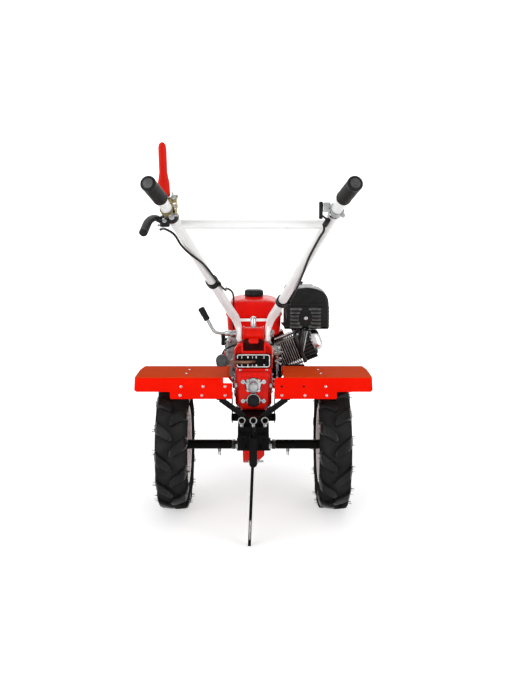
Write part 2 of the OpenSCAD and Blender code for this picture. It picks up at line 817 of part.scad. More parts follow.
module clutch_lever() {
  p = flip(bar_axis(clutch_t), -1);
  a = flip(bar_axis(clutch_t - 0.014), -1);
  b = flip(bar_axis(clutch_t + 0.014), -1);
  color(black) {
    difference() {
      union() {
        rod(a, b, bar_r + 4);
        translate([p.x - 30, p.y - 12, p.z - 30]) cube([26, 24, 28]);
      }
      rod(a - 4 * (b - a), b + 4 * (b - a), bar_r + gap);
    }
    sweep(spline([p + [-22, 0, -18], p + [-40, -14, -6], p + [-54, -49, -13], p + [-61, -99, -37]], 4),
      7, 10, [0, 0, 1]);
    rod(p + [-55, -54, -15], p + [-62, -106, -40], 11);
  }
}

module throttle_clamp() {
  p = bar_axis(throttle_t);
  a = bar_axis(throttle_t - 0.013);
  b = bar_axis(throttle_t + 0.013);
  color(steel) difference() {
    union() {
      rod(a, b, bar_r + 5);
      translate([p.x - 35, p.y - 8, p.z - 4]) cube([20, 16, 26]);
      rod_y(p.x - 27, p.y - 14, p.y - 7, p.z + 12, 7);
      rod_y(p.x + 17, p.y - 12, p.y + 10, p.z - 12, 5);
    }
    rod(a - 4 * (b - a), b + 4 * (b - a), bar_r + gap);
  }
}

module throttle_lever() {
  p = bar_axis(throttle_t);
  a = beside(throttle_t - 0.022, 1, 318, 26);
  b = beside(throttle_t - 0.062, 1, 318, 26);
  color(black) {
    translate([p.x - 40, p.y - 7, p.z - 22]) cube([5 - gap, 14, 46]);
    difference() {
      rod(a, b, 6.5);
      rod(a + (b - a) * 0.4, b + (b - a), cable_r + gap);
    }
    rod(a, [p.x - 38, p.y - 1, p.z - 17], 3.5);
  }
}

// Point beside a handlebar tube: t along it, at an angle round it (0 inside, 90 on top) and a distance.
function beside(t, s, angle, dist) =
  let (d = unit(grip_start() - bend_at()), u = unit(cross(d, [0, 0, 1])), w = cross(u, d))
  flip(bar_axis(t) + dist * (cos(angle) * u + sin(angle) * w), s);

module cable_clips() {
  d = unit(grip_start() - bend_at());
  color(rubber) for (s = [-1, 1]) {
    c = flip(bar_axis(s < 0 ? clip_left_t : clip_right_t), s);
    v = flip(d, s);
    difference() {
      rod(c - v * 13, c + v * 13, clip_r);
      rod(c - v * 40, c + v * 40, bar_r + gap);
    }
  }
}

function clutch_route() = spline([
  beside(0.882, -1, 235, 46), beside(0.839, -1, 210, 34), beside(0.782, -1, 205, on_bar + 2),
  beside(0.725, -1, 235, on_bar + 2), beside(0.677, -1, 265, on_bar + 2),
  beside(0.629, -1, 295, on_bar + 2), beside(0.553, -1, 325, on_bar + 3),
  beside(clip_left_t, -1, 345, on_clip), beside(clip_left_t - 0.03, -1, 350, on_clip)], 5);

function throttle_route() = spline([
  beside(throttle_t - 0.044, 1, 318, 26), beside(throttle_t - 0.064, 1, 318, 26),
  beside(0.831, 1, 306, 25), beside(0.763, 1, 308, on_bar + 1), beside(0.629, 1, 298, on_bar + 1),
  beside(0.515, 1, 272, on_bar + 1), beside(0.4, 1, 242, on_bar + 1), beside(0.305, 1, 212, on_bar + 2),
  beside(clip_right_t, 1, 195, on_clip), beside(clip_right_t - 0.03, 1, 190, on_clip)], 5);

function clutch_lower_route() = spline([
  beside(clip_left_t - 0.031, -1, 350, on_clip), beside(clip_left_t - 0.08, -1, 5, on_clip + 2),
  [-86, -318, 842], [-72, -240, 824], [-68, -150, 796], [-70, -80, 750], [-72, -30, 700], [-70, 10, 650],
  [-40, 40, 612], [20, 50, 602], [66, 49, 596], [84, 48, 579]], 4);

function throttle_lower_route() = let (x = tank_w / 2 + 1) spline([
  beside(clip_right_t - 0.031, 1, 190, on_clip), beside(clip_right_t - 0.08, 1, 185, on_clip + 2),
  [x + 3, -110, 722], [x + 2, 0, 690], [x, 90, 668], [x, 180, 656], [x, 296, 640],
  [air_x + 6, 334, 620], [air_x + 33, 344, 612]], 4);

module clutch_cable() {
  color(rubber) sweep(clutch_route(), cable_r, 8);
}

module throttle_cable() {
  color(rubber) sweep(throttle_route(), cable_r, 8);
}

module clutch_cable_lower() {
  color(rubber) sweep(clutch_lower_route(), cable_r, 8, [1, -1, 0]);
}

module throttle_cable_lower() {
  color(rubber) sweep(throttle_lower_route(), cable_r, 8, [0, 0, 1]);
}

module placed() {
  translate([0, axle_y, 0]) children();
}

placed() gearbox_case();
placed() gearbox_cover();
placed() pto_cap();
placed() pto_ring();
placed() pto_plug();
placed() gear_plate();
placed() gear_lever();
placed() gear_knob();
placed() clutch_housing();
placed() engine_rails();
placed() crankcase();
placed() cylinder_block();  // cylinder
placed() cylinder_head();
placed() valve_cover();
placed() fan_housing();
placed() recoil_starter();
placed() fuel_tank();
placed() fuel_cap();
placed() muffler();
placed() muffler_guard();
placed() air_cleaner();
placed() carburettor();
placed() pedestal();
placed() wheel_guard(-1);  // wheel_guard_left
placed() wheel_guard(1);  // wheel_guard_right
placed() guard_braces();
placed() hitch();
placed() hitch_pins();
placed() coulter();
placed() coulter_pin();
placed() clutch_linkage();
placed() front_guard();
placed() clutch_cable_lower();
placed() throttle_cable_lower();
placed() handlebar();
placed() lock_plunger();
placed() grip(-1);  // grip_left
placed() grip(1);  // grip_right
placed() clamp_bolt();
placed() clamp_grip();
placed() stop_lever();
placed() stop_bracket();
placed() clutch_lever();
placed() throttle_clamp();
placed() throttle_lever();
placed() cable_clips();
placed() clutch_cable();
placed() throttle_cable();
placed() tyre(-1);  // tyre_left
placed() rim(-1);  // rim_left
placed() axle_tube(-1);  // axle_tube_left
placed() axle_shaft(-1);  // axle_shaft_left
placed() axle_clip(-1);  // axle_clip_left
placed() tyre(1);  // tyre_right
placed() rim(1);  // rim_right
placed() axle_tube(1);  // axle_tube_right
placed() axle_shaft(1);  // axle_shaft_right
placed() axle_clip(1);  // axle_clip_right
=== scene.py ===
"""Looks of a two-wheeled walking tractor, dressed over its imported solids.

Lengths here are millimetres from the point on the floor under the axle (x right, y ahead, z up);
put() turns them into metres in the part's own frame.
"""
import json
import math
import bpy
import numpy as np
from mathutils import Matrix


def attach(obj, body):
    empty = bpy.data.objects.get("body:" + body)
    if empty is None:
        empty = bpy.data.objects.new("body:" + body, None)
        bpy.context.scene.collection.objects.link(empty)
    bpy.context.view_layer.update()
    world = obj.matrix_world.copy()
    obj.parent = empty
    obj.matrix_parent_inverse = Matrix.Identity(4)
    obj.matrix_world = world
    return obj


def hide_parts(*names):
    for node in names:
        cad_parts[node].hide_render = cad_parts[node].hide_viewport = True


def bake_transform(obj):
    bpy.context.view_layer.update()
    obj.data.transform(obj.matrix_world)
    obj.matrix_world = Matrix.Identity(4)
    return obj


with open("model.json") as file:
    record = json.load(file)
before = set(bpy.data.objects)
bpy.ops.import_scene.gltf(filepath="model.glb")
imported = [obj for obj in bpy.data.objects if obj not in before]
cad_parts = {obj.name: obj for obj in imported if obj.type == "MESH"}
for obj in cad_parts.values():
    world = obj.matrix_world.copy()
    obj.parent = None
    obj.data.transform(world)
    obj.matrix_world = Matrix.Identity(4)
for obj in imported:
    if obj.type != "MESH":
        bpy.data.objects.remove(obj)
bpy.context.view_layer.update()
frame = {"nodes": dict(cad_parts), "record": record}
AXLE = np.array([0.0, 232.5, 0.0])
SLOT_OF = {p["node"]: p["material_slot"] for p in frame["record"]["subparts"]}
RIGHT, AHEAD, UP = (1, 0, 0), (0, 1, 0), (0, 0, 1)
LEFT, REAR, DOWN = (-1, 0, 0), (0, -1, 0), (0, 0, -1)
SIDES = (-1, 1)
WHEEL_X, AXLE_Z = 286.0, 235.0
COVER_FACE, CRANK_Z = -170, 490


# Shapes: every form is points and faces as whole arrays, in millimetres
def unit(v):
    """Vectors scaled to length one."""
    v = np.asarray(v, float)
    return v / np.maximum(np.linalg.norm(v, axis=-1, keepdims=True), 1e-12)


def smooth(points, n):
    """Catmull-Rom curve through points, n steps a span: cubic blend of four neighbours."""
    p = np.asarray(points, float)
    p = np.vstack([2 * p[0] - p[1], p, 2 * p[-1] - p[-2]])
    t = np.linspace(0, 1, n, endpoint=False)[None, :, None]
    a, b, c, d = (p[k:len(p) - 3 + k][:, None] for k in range(4))
    curve = 0.5 * (2 * b + (c - a) * t + (2 * a - 5 * b + 4 * c - d) * t ** 2 + (3 * b - a - 3 * c + d) * t ** 3)
    return np.vstack([curve.reshape(-1, p.shape[1]), p[-2]])


def skin(p, loop=False):
    """Skin over rings p[ring, point]: each ring joins up, ends are capped, or ring n meets ring 0."""
    n, m = p.shape[:2]
    i = np.arange(n if loop else n - 1)[:, None]
    j = np.arange(m)[None]
    k = (j + 1) % m
    nxt = ((i + 1) % n) * m
    faces = [np.stack([i * m + j, i * m + k, nxt + k, nxt + j], -1).reshape(-1, 4)]
    if not loop:
        faces += [np.arange(m)[None, ::-1], (np.arange(m) + (n - 1) * m)[None]]
    return p.reshape(-1, 3), faces


def basis(axis):
    """Two unit vectors square to an axis."""
    a = unit(axis)
    u = unit(np.cross(a, [0, 0, 1] if abs(a[2]) < 0.9 else [1, 0, 0]))
    return a, u, np.cross(a, u)


def lathe(profile, at, axis, seg=32, loop=False, ripple=None):
    """Turned form: profile rows (radius, along) swept round axis from at; ripple scales radius by angle."""
    pr = np.asarray(profile, float)
    a, u, w = basis(axis)
    t = np.linspace(0, 2 * np.pi, seg, endpoint=False)
    r = pr[:, :1] * np.ones((1, seg))
    if ripple is not None:
        r = r + ripple(t)[None] * (pr[:, 2:3] if pr.shape[1] > 2 else 1)
    ring = u * np.cos(t)[:, None] + w * np.sin(t)[:, None]
    p = np.asarray(at, float) + pr[:, 1][:, None, None] * a + r[..., None] * ring[None]
    return skin(p, loop=loop)


def rod(a, b, r, edge=0.8, seg=20):
    """Round bar from a to b with softened ends: radius r, chamfer edge."""
    a, b = np.asarray(a, float), np.asarray(b, float)
    n = np.linalg.norm(b - a)
    e = min(edge, r * 0.5, n * 0.4)
    return lathe([(r - e, 0), (r - 0.3 * e, 0.3 * e), (r, e), (r, n - e), (r - 0.3 * e, n - 0.3 * e),
        (r - e, n)], a, b - a, seg)


def sleeve(inner, outer, lo, hi, at, axis, seg=36, ease=(0.4, 1)):
    """Hollow collar round axis from lo to hi: a lathe of a rectangle with its two outer corners eased."""
    e, f = ease
    return lathe([(inner, lo), (outer - e, lo), (outer, lo + f), (outer, hi - f), (outer - e, hi), (inner, hi)],
        at, axis, seg, loop=True)


def sweep(path, r, sides=14, ref=RIGHT, rv=None, loop=False, power=2.0):
    """Bar along a path: a ring of radius r (and rv the other way) square to the path at each point."""
    p = np.asarray(path, float)
    d = np.roll(p, -1, 0) - np.roll(p, 1, 0) if loop else np.gradient(p, axis=0)
    t = unit(d)
    u = unit(np.cross(t, np.asarray(ref, float)))
    w = np.cross(t, u)
    r = np.broadcast_to(np.asarray(r, float), len(p))[:, None, None]
    rv = r if rv is None else np.broadcast_to(np.asarray(rv, float), len(p))[:, None, None]
    s = np.linspace(0, 2 * np.pi, sides, endpoint=False)
    c, z = np.cos(s), np.sin(s)
    c = np.sign(c) * np.abs(c) ** (2 / power)
    z = np.sign(z) * np.abs(z) ** (2 / power)
    ring = p[:, None] + r * u[:, None] * c[None, :, None] + rv * w[:, None] * z[None, :, None]
    return skin(ring, loop=loop)


def fillet(points, r, n=4):
    """Outline with its corners rounded: each corner becomes a short parabola of reach r."""
    p = np.asarray(points, float)
    r = np.broadcast_to(np.asarray(r, float), len(p))[:, None]
    a, b = np.roll(p, 1, 0) - p, np.roll(p, -1, 0) - p
    la, lb = np.linalg.norm(a, axis=1, keepdims=True), np.linalg.norm(b, axis=1, keepdims=True)
    s = p + a / la * np.minimum(r, 0.46 * la)
    e = p + b / lb * np.minimum(r, 0.46 * lb)
    t = np.linspace(0, 1, n + 1)[None, :, None]
    return ((1 - t) ** 2 * s[:, None] + 2 * t * (1 - t) * p[:, None] + t ** 2 * e[:, None]).reshape(-1, 2)


def inset(o, d):
    """Closed outline moved inwards by d along its mitred corners."""
    e = unit(np.roll(o, -1, 0) - o)
    nrm = np.stack([-e[:, 1], e[:, 0]], -1)
    m = nrm + np.roll(nrm, 1, 0)
    m = m / np.maximum((m * m).sum(1, keepdims=True) / 2, 0.5)
    return o + m * d


def slab(outline, lo, hi, plane, bevel=1.5, steps=3):
    """Plate with rolled edges: an outline carried from lo to hi, drawn in by a quarter round at both faces.

    plane says which axis it is carried along; the outline gives the two other axes in x, y, z order.
    """
    o = np.asarray(outline, float)
    area = 0.5 * np.sum(o[:, 0] * np.roll(o[:, 1], -1) - np.roll(o[:, 0], -1) * o[:, 1])
    o = o if area > 0 else o[::-1]
    b = min(bevel, 0.49 * (hi - lo))
    q = np.linspace(0, np.pi / 2, steps + 1)
    ins = np.concatenate([b * (1 - np.sin(q)), b * (1 - np.sin(q))[::-1]])
    dep = np.concatenate([lo + b * (1 - np.cos(q)), (hi - b * (1 - np.cos(q)))[::-1]])
    rings = np.stack([inset(o, d) for d in ins])
    p = np.empty(rings.shape[:2] + (3,))
    k = "xyz".index(plane)
    rest = [i for i in range(3) if i != k]
    p[..., rest[0]], p[..., rest[1]] = rings[..., 0], rings[..., 1]
    p[..., k] = dep[:, None]
    return skin(p)


def box(lo, hi, bevel=2.0, plane="z", corner=None):
    """Block with rounded corners and rolled edges between any two opposite corners."""
    lo, hi = np.minimum(lo, hi), np.maximum(lo, hi)
    k = "xyz".index(plane)
    a, b = [i for i in range(3) if i != k]
    o = [(lo[a], lo[b]), (hi[a], lo[b]), (hi[a], hi[b]), (lo[a], hi[b])]
    return slab(fillet(o, corner if corner else bevel * 1.6, 3), lo[k], hi[k], plane, bevel)


def pad(levels, centre, power=4.0, seg=64):
    """Stack of rounded rectangles: rows (z, half x, half y), each a superellipse, capped at both ends."""
    lv = np.asarray(levels, float)
    t = np.linspace(0, 2 * np.pi, seg, endpoint=False)
    c, s = np.cos(t), np.sin(t)
    x = np.sign(c) * np.abs(c) ** (2 / power)
    y = np.sign(s) * np.abs(s) ** (2 / power)
    p = np.stack([lv[:, 1:2] * x + centre[0], lv[:, 2:3] * y + centre[1], lv[:, :1] + 0 * x], -1)
    return skin(p)


def repeated(faces, n, step):
    """The faces of one form, n times over, each time step points further on."""
    shift = np.arange(n)[:, None, None] * step
    return [(f[None] + shift).reshape(-1, f.shape[1]) for f in faces]


def copies(part, at, turn=None):
    """The same form at many places: its points turned by one matrix each, then shifted."""
    v, faces = part[:2]
    at = np.atleast_2d(np.asarray(at, float))
    w = np.broadcast_to(v, (len(at),) + v.shape) if turn is None else np.einsum("kab,nb->kna", turn, v)
    return ((w + at[:, None]).reshape(-1, 3), repeated(faces, len(at), len(v))) + tuple(part[2:])


def moved(part, rot=None, at=(0, 0, 0)):
    """A form turned by a matrix and shifted."""
    v = part[0] if rot is None else part[0] @ np.asarray(rot).T
    return (v + np.asarray(at, float),) + tuple(part[1:])


def turn(deg, axis):
    """Rotation matrix about x, y or z."""
    c, s = math.cos(math.radians(deg)), math.sin(math.radians(deg))
    return np.array({"x": [[1, 0, 0], [0, c, -s], [0, s, c]], "y": [[c, 0, s], [0, 1, 0], [-s, 0, c]],
                     "z": [[c, -s, 0], [s, c, 0], [0, 0, 1]]}[axis])


def tint(part, k):
    """A form marked with the number of its finish in the piece's list."""
    return part[:2] + (k,)


def bolt(at, axis, r=6.0, h=5.0, k=0, washer=True):
    """Hexagon bolt head on a washer, along axis: a six-sided lathe with chamfered top over a thin ring."""
    head = lathe([(r, 0.8), (r, h * 0.8), (r * 0.86, h), (r * 0.4, h * 1.02)], at, axis, 6)
    ring = lathe([(r * 1.25, -0.6), (r * 1.45, 0), (r * 1.45, 0.9), (r * 1.2, 1.3)], at, axis, 20)
    return [tint(head, k), tint(ring, k)] if washer else [tint(head, k)]


def volume(v, faces):
    """Signed volume under the faces, by fans of triangles."""
    return sum(np.einsum("ij,ij->", v[f[:, 0]],
        np.cross(v[f[:, t]], v[f[:, t + 1]])) for f in faces for t in range(1, f.shape[1] - 1))


def put(name, parts, finishes, body, stands_for=(), crease=34):
    """One finished piece from closed forms: points to metres, faces turned outwards, finishes by number."""
    verts, loops, starts, mats, base, at = [], [], [], [], 0, 0
    for part in parts:
        v, faces = part[0], part[1]
        flip = volume(v - v.mean(0), faces) < 0
        for f in faces:
            f = f[:, ::-1] if flip else f
            loops.append((f + base).ravel())
            starts.append(at + np.arange(len(f)) * f.shape[1])
            mats.append(np.full(len(f), part[2] if len(part) > 2 else 0))
            at += f.size
        verts.append(v)
        base += len(v)
    verts, loops = (np.vstack(verts) + AXLE) / 1000, np.concatenate(loops)
    starts, mats = np.concatenate(starts), np.concatenate(mats)
    mesh = bpy.data.meshes.new(name)
    mesh.vertices.add(len(verts))
    mesh.vertices.foreach_set("co", verts.astype(np.float32).ravel())
    mesh.loops.add(len(loops))
    mesh.polygons.add(len(starts))
    mesh.polygons.foreach_set("loop_start", starts.astype(np.int32))
    mesh.loops.foreach_set("vertex_index", loops.astype(np.int32))
    for f in finishes:
        mesh.materials.append(f)
    mesh.polygons.foreach_set("material_index", mats.astype(np.int32))
    mesh.polygons.foreach_set("use_smooth", np.ones(len(starts), bool))
    mesh.update(calc_edges=True)
    mesh.set_sharp_from_angle(angle=math.radians(crease))
    piece = bpy.data.objects.new(name, mesh)
    bpy.context.scene.collection.objects.link(piece)
    if body:
        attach(piece, body)
    nodes = (stands_for,) if isinstance(stands_for, str) else stands_for
    if nodes:
        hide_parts(*nodes)
    return piece


# Finishes: paint, metal, rubber and plastic as node materials on Object coordinates
def finish(name, dark, light, rough, metal=0.0, blotch=18.0, grain=300.0, bump=0.1, top_painted_reflection=None, spec=0.5):
    """Paint or metal: two tones mixed by a soft noise, roughness and bump by finer noises, upward faces blended
    toward a painted reflection colour.

    A tone of one number is a grey.
    """
    mat = bpy.data.materials.new(name)
    mat.use_nodes = True
    tree = mat.node_tree
    new, link = tree.nodes.new, tree.links.new
    tree.nodes.clear()
    out, body, at = new("ShaderNodeOutputMaterial"), new("ShaderNodeBsdfPrincipled"), new("ShaderNodeTexCoord")
    link(body.outputs[0], out.inputs[0])

    def noise(scale, detail):
        n = new("ShaderNodeTexNoise")
        n.inputs["Scale"].default_value = scale
        n.inputs["Detail"].default_value = detail
        link(at.outputs["Object"], n.inputs["Vector"])
        return n.outputs["Fac"]

    ramp = new("ShaderNodeValToRGB")
    ramp.color_ramp.elements[0].position, ramp.color_ramp.elements[1].position = 0.3, 0.7
    for stop, tone in zip(ramp.color_ramp.elements, (dark, light)):
        stop.color = (*np.broadcast_to(tone, 3), 1)
    link(noise(blotch, 5), ramp.inputs[0])
    colour = ramp.outputs[0]
    # Painted reflection: faces turned upward take an orange tint by their normal, standing in for light reflected on
    # top surfaces.
    if top_painted_reflection:
        geo, sep = new("ShaderNodeNewGeometry"), new("ShaderNodeSeparateXYZ")
        link(geo.outputs["Normal"], sep.inputs[0])
        up = new("ShaderNodeMapRange")
        up.inputs["From Min"].default_value, up.inputs["From Max"].default_value = 0.35, 0.95
        link(sep.outputs["Z"], up.inputs["Value"])
        mix = new("ShaderNodeMix")
        mix.data_type = "RGBA"
        link(up.outputs[0], mix.inputs["Factor"])
        link(colour, mix.inputs[6])
        mix.inputs[7].default_value = (*top_painted_reflection, 1)
        colour = mix.outputs[2]
    link(colour, body.inputs["Base Color"])
    span = new("ShaderNodeMapRange")
    span.inputs["To Min"].default_value, span.inputs["To Max"].default_value = rough
    link(noise(blotch * 4, 3), span.inputs["Value"])
    link(span.outputs[0], body.inputs["Roughness"])
    relief = new("ShaderNodeBump")
    relief.inputs["Strength"].default_value = bump
    relief.inputs["Distance"].default_value = 0.002
    link(noise(grain, 4), relief.inputs["Height"])
    link(relief.outputs[0], body.inputs["Normal"])
    body.inputs["Metallic"].default_value = metal
    body.inputs["Specular IOR Level"].default_value = spec
    return mat


# Red sheet: its upward faces carry a painted reflection, an orange-brown tint by normal.
RED_SHEET = finish("glossy red paint", (0.8, 0.007, 0.002), (0.9, 0.01, 0.003), (0.2, 0.3), blotch=7, grain=60,
    bump=0.02, metal=0.03, top_painted_reflection=(0.6, 0.058, 0.011), spec=0.0)
RED_CAST = finish("red paint on a casting", (0.64, 0.006, 0.002), (0.76, 0.009, 0.003), (0.14, 0.22), blotch=14,
    grain=160, bump=0.02, spec=0.12)
RED_TANK = finish("red tank paint", (0.66, 0.007, 0.005), (0.76, 0.01, 0.007), (0.16, 0.26), blotch=7,
    grain=60, bump=0.02, spec=0.03)
# Darker red for recess floors: painted shade.
RED_PAINTED_SHADE = finish("red paint darkened as painted recess shade", (0.46, 0.006, 0.003), (0.54, 0.009, 0.004), (0.2, 0.32), blotch=14,
    grain=160, bump=0.03, spec=0.05)
SHADE = finish("shaded casting", (0.09, 0.03, 0.03), (0.13, 0.042, 0.042), (0.6, 0.8),
    grain=300, bump=0.05, spec=0.0)
RED_GRIP = finish("red dipped coating", (0.56, 0.01, 0.004), (0.66, 0.014, 0.005), (0.24, 0.36), blotch=20,
    grain=400, bump=0.03, spec=0.1)
WHITE = finish("pale powder coat", (0.83, 0.83, 0.825), (0.88, 0.88, 0.875), (0.3, 0.42),
    blotch=12, grain=700, bump=0.05)
BLACK = finish("satin black paint", 0.004, 0.008, (0.24, 0.4), blotch=30, grain=500, bump=0.06, spec=0.03)
CRINKLE = finish("heat-proof black", 0.006, 0.013, (0.26, 0.42), blotch=40, grain=900, bump=0.1, spec=0.12)
# Paler, glossier black: a painted highlight on the louvre lips; also used on the grips' end faces.
LIP_HIGHLIGHT_BLACK = finish("paler black with painted lip highlight", 0.025, 0.06, (0.22, 0.36), blotch=60, grain=700, bump=0.1, spec=0.4)
PLASTIC = finish("black moulded plastic", (0.006, 0.006, 0.007), (0.012, 0.012, 0.013), (0.3, 0.46),
    grain=800, bump=0.06, spec=0.12)
RUBBER = finish("soft black rubber", 0.006, 0.012, (0.4, 0.58), grain=600, bump=0.1, spec=0.12)
TYRE = finish("tyre rubber", 0.008, 0.018, (0.2, 0.36), blotch=22, grain=260, bump=0.06, spec=0.1)
SIDEWALL = finish("tyre sidewall rubber", 0.017, 0.03, (0.5, 0.7), blotch=22, grain=260, bump=0.08, spec=0.0)
KNOB = finish("grey moulded knob", 0.035, 0.06, (0.3, 0.45), grain=800, bump=0.05, spec=0.2)
BARE = finish("bare tin baffle", 0.48, 0.64, (0.3, 0.45), 0.1, blotch=30, grain=500, bump=0.05, spec=0.3)
STEEL = finish("bright plated steel", (0.24, 0.245, 0.25), (0.46, 0.465, 0.47), (0.1, 0.24), 1.0,
    blotch=30, grain=600, bump=0.05)
BRIGHT = finish("polished pressing", 0.42, 0.6, (0.16, 0.28), 1.0, blotch=20, grain=300, bump=0.03)
OILED = finish("oiled brown steel", (0.1, 0.045, 0.025), (0.24, 0.12, 0.07), (0.3, 0.5), 0.7,
    blotch=40, grain=500, bump=0.1)
ZINC = finish("yellow zinc plate", (0.14, 0.115, 0.045), (0.34, 0.28, 0.14), (0.2, 0.36), 1.0,
    blotch=60, grain=500, bump=0.06)
DULL_ZINC = finish("dull zinc plate", (0.2, 0.23, 0.2), (0.4, 0.44, 0.39), (0.2, 0.36), 1.0,
    blotch=60, grain=500, bump=0.06)
ALLOY = finish("as-cast alloy", (0.15, 0.155, 0.155), (0.28, 0.285, 0.28), (0.34, 0.52), 0.8,
    blotch=30, grain=700, bump=0.14)
DARK_ALLOY = finish("dull cylinder casting", (0.13, 0.115, 0.11), (0.27, 0.25, 0.24), (0.36, 0.55), 0.7,
    blotch=40, grain=600, bump=0.2)
# Black head casting; on the clutch bell the same dark stands as painted shade.
SHROUD_AND_BELL_SHADE = finish("black head casting and painted bell shade", 0.012, (0.035, 0.034, 0.033), (0.35, 0.55), 0.3,
    blotch=40, grain=600, bump=0.15)
OXIDE = finish("blackened steel", (0.02, 0.02, 0.021), (0.06, 0.06, 0.062), (0.3, 0.45), 0.8,
    blotch=40, grain=500, bump=0.08)
WORN = finish("rubbed bare steel", 0.05, 0.3, (0.25, 0.5), 0.8, blotch=50, grain=400, bump=0.1)
VOID = finish("deep shade", (0.004, 0.003, 0.003), (0.008, 0.006, 0.006), (0.7, 0.9),
    grain=300, bump=0.05, spec=0.1)
MARK = finish("white print", (0.78, 0.78, 0.77), (0.86, 0.86, 0.85), (0.4, 0.55), grain=500, bump=0.03)

BY_SLOT = {"red_casting": RED_CAST, "red_sheet": RED_SHEET, "plated_steel": STEEL, "black_paint": BLACK,
           "black_plastic": PLASTIC, "cast_alloy": ALLOY, "white_paint": WHITE, "black_rubber": RUBBER,
           "zinc_plate": ZINC, "tyre_rubber": TYRE}


# Tyres: a turned carcass with lofted lugs
def tyre(side):
    """Carcass turned from a smooth section, 26 rounded lugs lofted in a chevron, and moulding hairs."""
    half = smooth([(127.5, 41), (140, 43), (156, 51), (178, 56.5), (198, 55), (211, 47), (217, 33), (219, 0)], 6)
    ring = np.vstack([half, half[-2::-1] * [1, -1]])
    at = np.array([side * WHEEL_X, 0, AXLE_Z])
    parts = [tint(lathe(ring, at, RIGHT, 96, loop=True), 1)]
    lugs, tilt, tread = 13, math.radians(36), 222
    u = np.linspace(0, 1, 13)
    x = -5 + 62.5 * u
    top = 235 - 5 * (x / 57) ** 2 - 30 * np.clip((x - 45) / 13, 0, 1) ** 2.2
    low = np.interp(x, [-5, 33, 47, 55, 58], [214, 212, 204, 192, 178])
    nose = np.sqrt(np.clip(1 - np.clip(1 - u / 0.16, 0, 1) ** 2.4, 0.05, 1))
    tail = np.sqrt(np.clip(1 - np.clip((u - 0.93) / 0.07, 0, 1) ** 2, 0.3, 1))
    w = np.array([-0.5, -0.46, -0.44, -0.39, -0.2, 0.2, 0.39, 0.44, 0.46, 0.5])
    h = np.array([0, 0.6, 0.88, 0.985, 1, 1, 0.985, 0.88, 0.6, 0])
    wide = (29 + 9 * u) * nose * tail
    r = low[:, None] + (top * np.where(u < 0.1, 0.985 + 0.15 * u, 1) - low)[:, None] * h
    lean = x[:, None] * math.tan(tilt) / tread + wide[:, None] * w / tread / math.cos(tilt)
    for k, hand in enumerate(SIDES):
        start = 2 * np.pi * (np.arange(lugs) + 0.5 * k) / lugs
        a = start[:, None, None] + lean[None]
        p = np.stack([at[0] + hand * x[None, :, None] + 0 * a, -r[None] * np.sin(a),
            AXLE_Z - r[None] * np.cos(a)], -1)
        parts.append((p.reshape(-1, 3), repeated(skin(p[0])[1], lugs, p[0].size // 3)))
        seeded = np.random.default_rng(7 + k + (2 if side > 0 else 0))
        n = 64
        ang = np.repeat(start, 5)[:n] + 0.2 + seeded.uniform(-0.09, 0.09, n)
        rad = seeded.uniform(197, 219, n)
        far = seeded.uniform(8, 15, n)
        out = np.stack([np.full(n, float(hand)), -0.45 * np.sin(ang) * seeded.uniform(-0.6, 1, n),
            -0.45 * np.cos(ang) * seeded.uniform(-0.6, 1, n)], -1)
        foot = np.stack([at[0] + hand * np.interp(rad, [195, 205, 219], [56, 54, 52]), -rad * np.sin(ang),
            AXLE_Z - rad * np.cos(ang)], -1)
        tri = np.array([[0, 1, 0.2], [0, -0.7, 0.9], [0, -0.4, -1.0]])
        tip = foot + far[:, None] * unit(out)
        hair = np.stack([foot[:, None] + tri, tip[:, None] + 0.5 * tri], 1)
        parts.append((hair.reshape(-1, 3), repeated(skin(hair[0])[1], n, 6), 1))
    name = "left" if side < 0 else "right"
    put("lugged_tyre_" + name, parts, [TYRE, SIDEWALL], "wheel_" + name, "tyre_" + name, crease=40)


tyre(-1)
tyre(1)

# Handlebar: each tube is one sweep along a bent path, flattened where the clamp holds it
BEND, GRIP_A, GRIP_B = np.array([60, -115, 710.0]), np.array([235, -886, 1134.0]), np.array([255, -987, 1172.0])


def bar(t, s=1):
    """Point at share t of the straight run of a handlebar tube, on side s."""
    return (BEND + (GRIP_A - BEND) * t) * [s, 1, 1]


parts = []
for s in SIDES:
    path = smooth(np.array([(49.3, -84, 633.5), (49.3, -86, 642), (49.3, -90, 660), (50.5, -94, 678),
        (56, -103, 697), bar(0.02) + [0, -4, 4], bar(0.1), bar(0.3), bar(0.6), bar(0.9), bar(0.97),
        GRIP_A + 0.14 * (GRIP_B - GRIP_A), GRIP_A + 0.9 * (GRIP_B - GRIP_A)]) * [s, 1, 1], 6)
    z = path[:, 2]
    wide = np.interp(z, [633, 636, 642, 660, 680, 700, 735], [9, 19, 25, 26.5, 22, 17, 15])
    thin = np.interp(z, [633, 636, 642, 684, 712, 735], [8, 10, 11, 11, 13.5, 15])
    parts.append(sweep(path, wide, 24, RIGHT, thin))
    bead = [(15.6 + 1.4 * np.cos(q), 2.4 * np.sin(q)) for q in np.linspace(0, 2 * np.pi, 9)[:-1]]
    inner = bar(0.831, s) - [s * 13, 0, 0]
    parts.append(lathe([(r - 3.2, z) for r, z in bead], inner, RIGHT, 24, loop=True))
parts.append(sweep(np.linspace(bar(0.831, -1), bar(0.831, 1), 13), np.array([8] + [12] * 11 + [8]), 22, UP,
    np.array([13] + [12] * 11 + [13])))
parts.append(rod(bar(0.0, -1), bar(0.0), 5))
put("handlebar_tubes", parts, [WHITE], "handlebar", "handlebar")

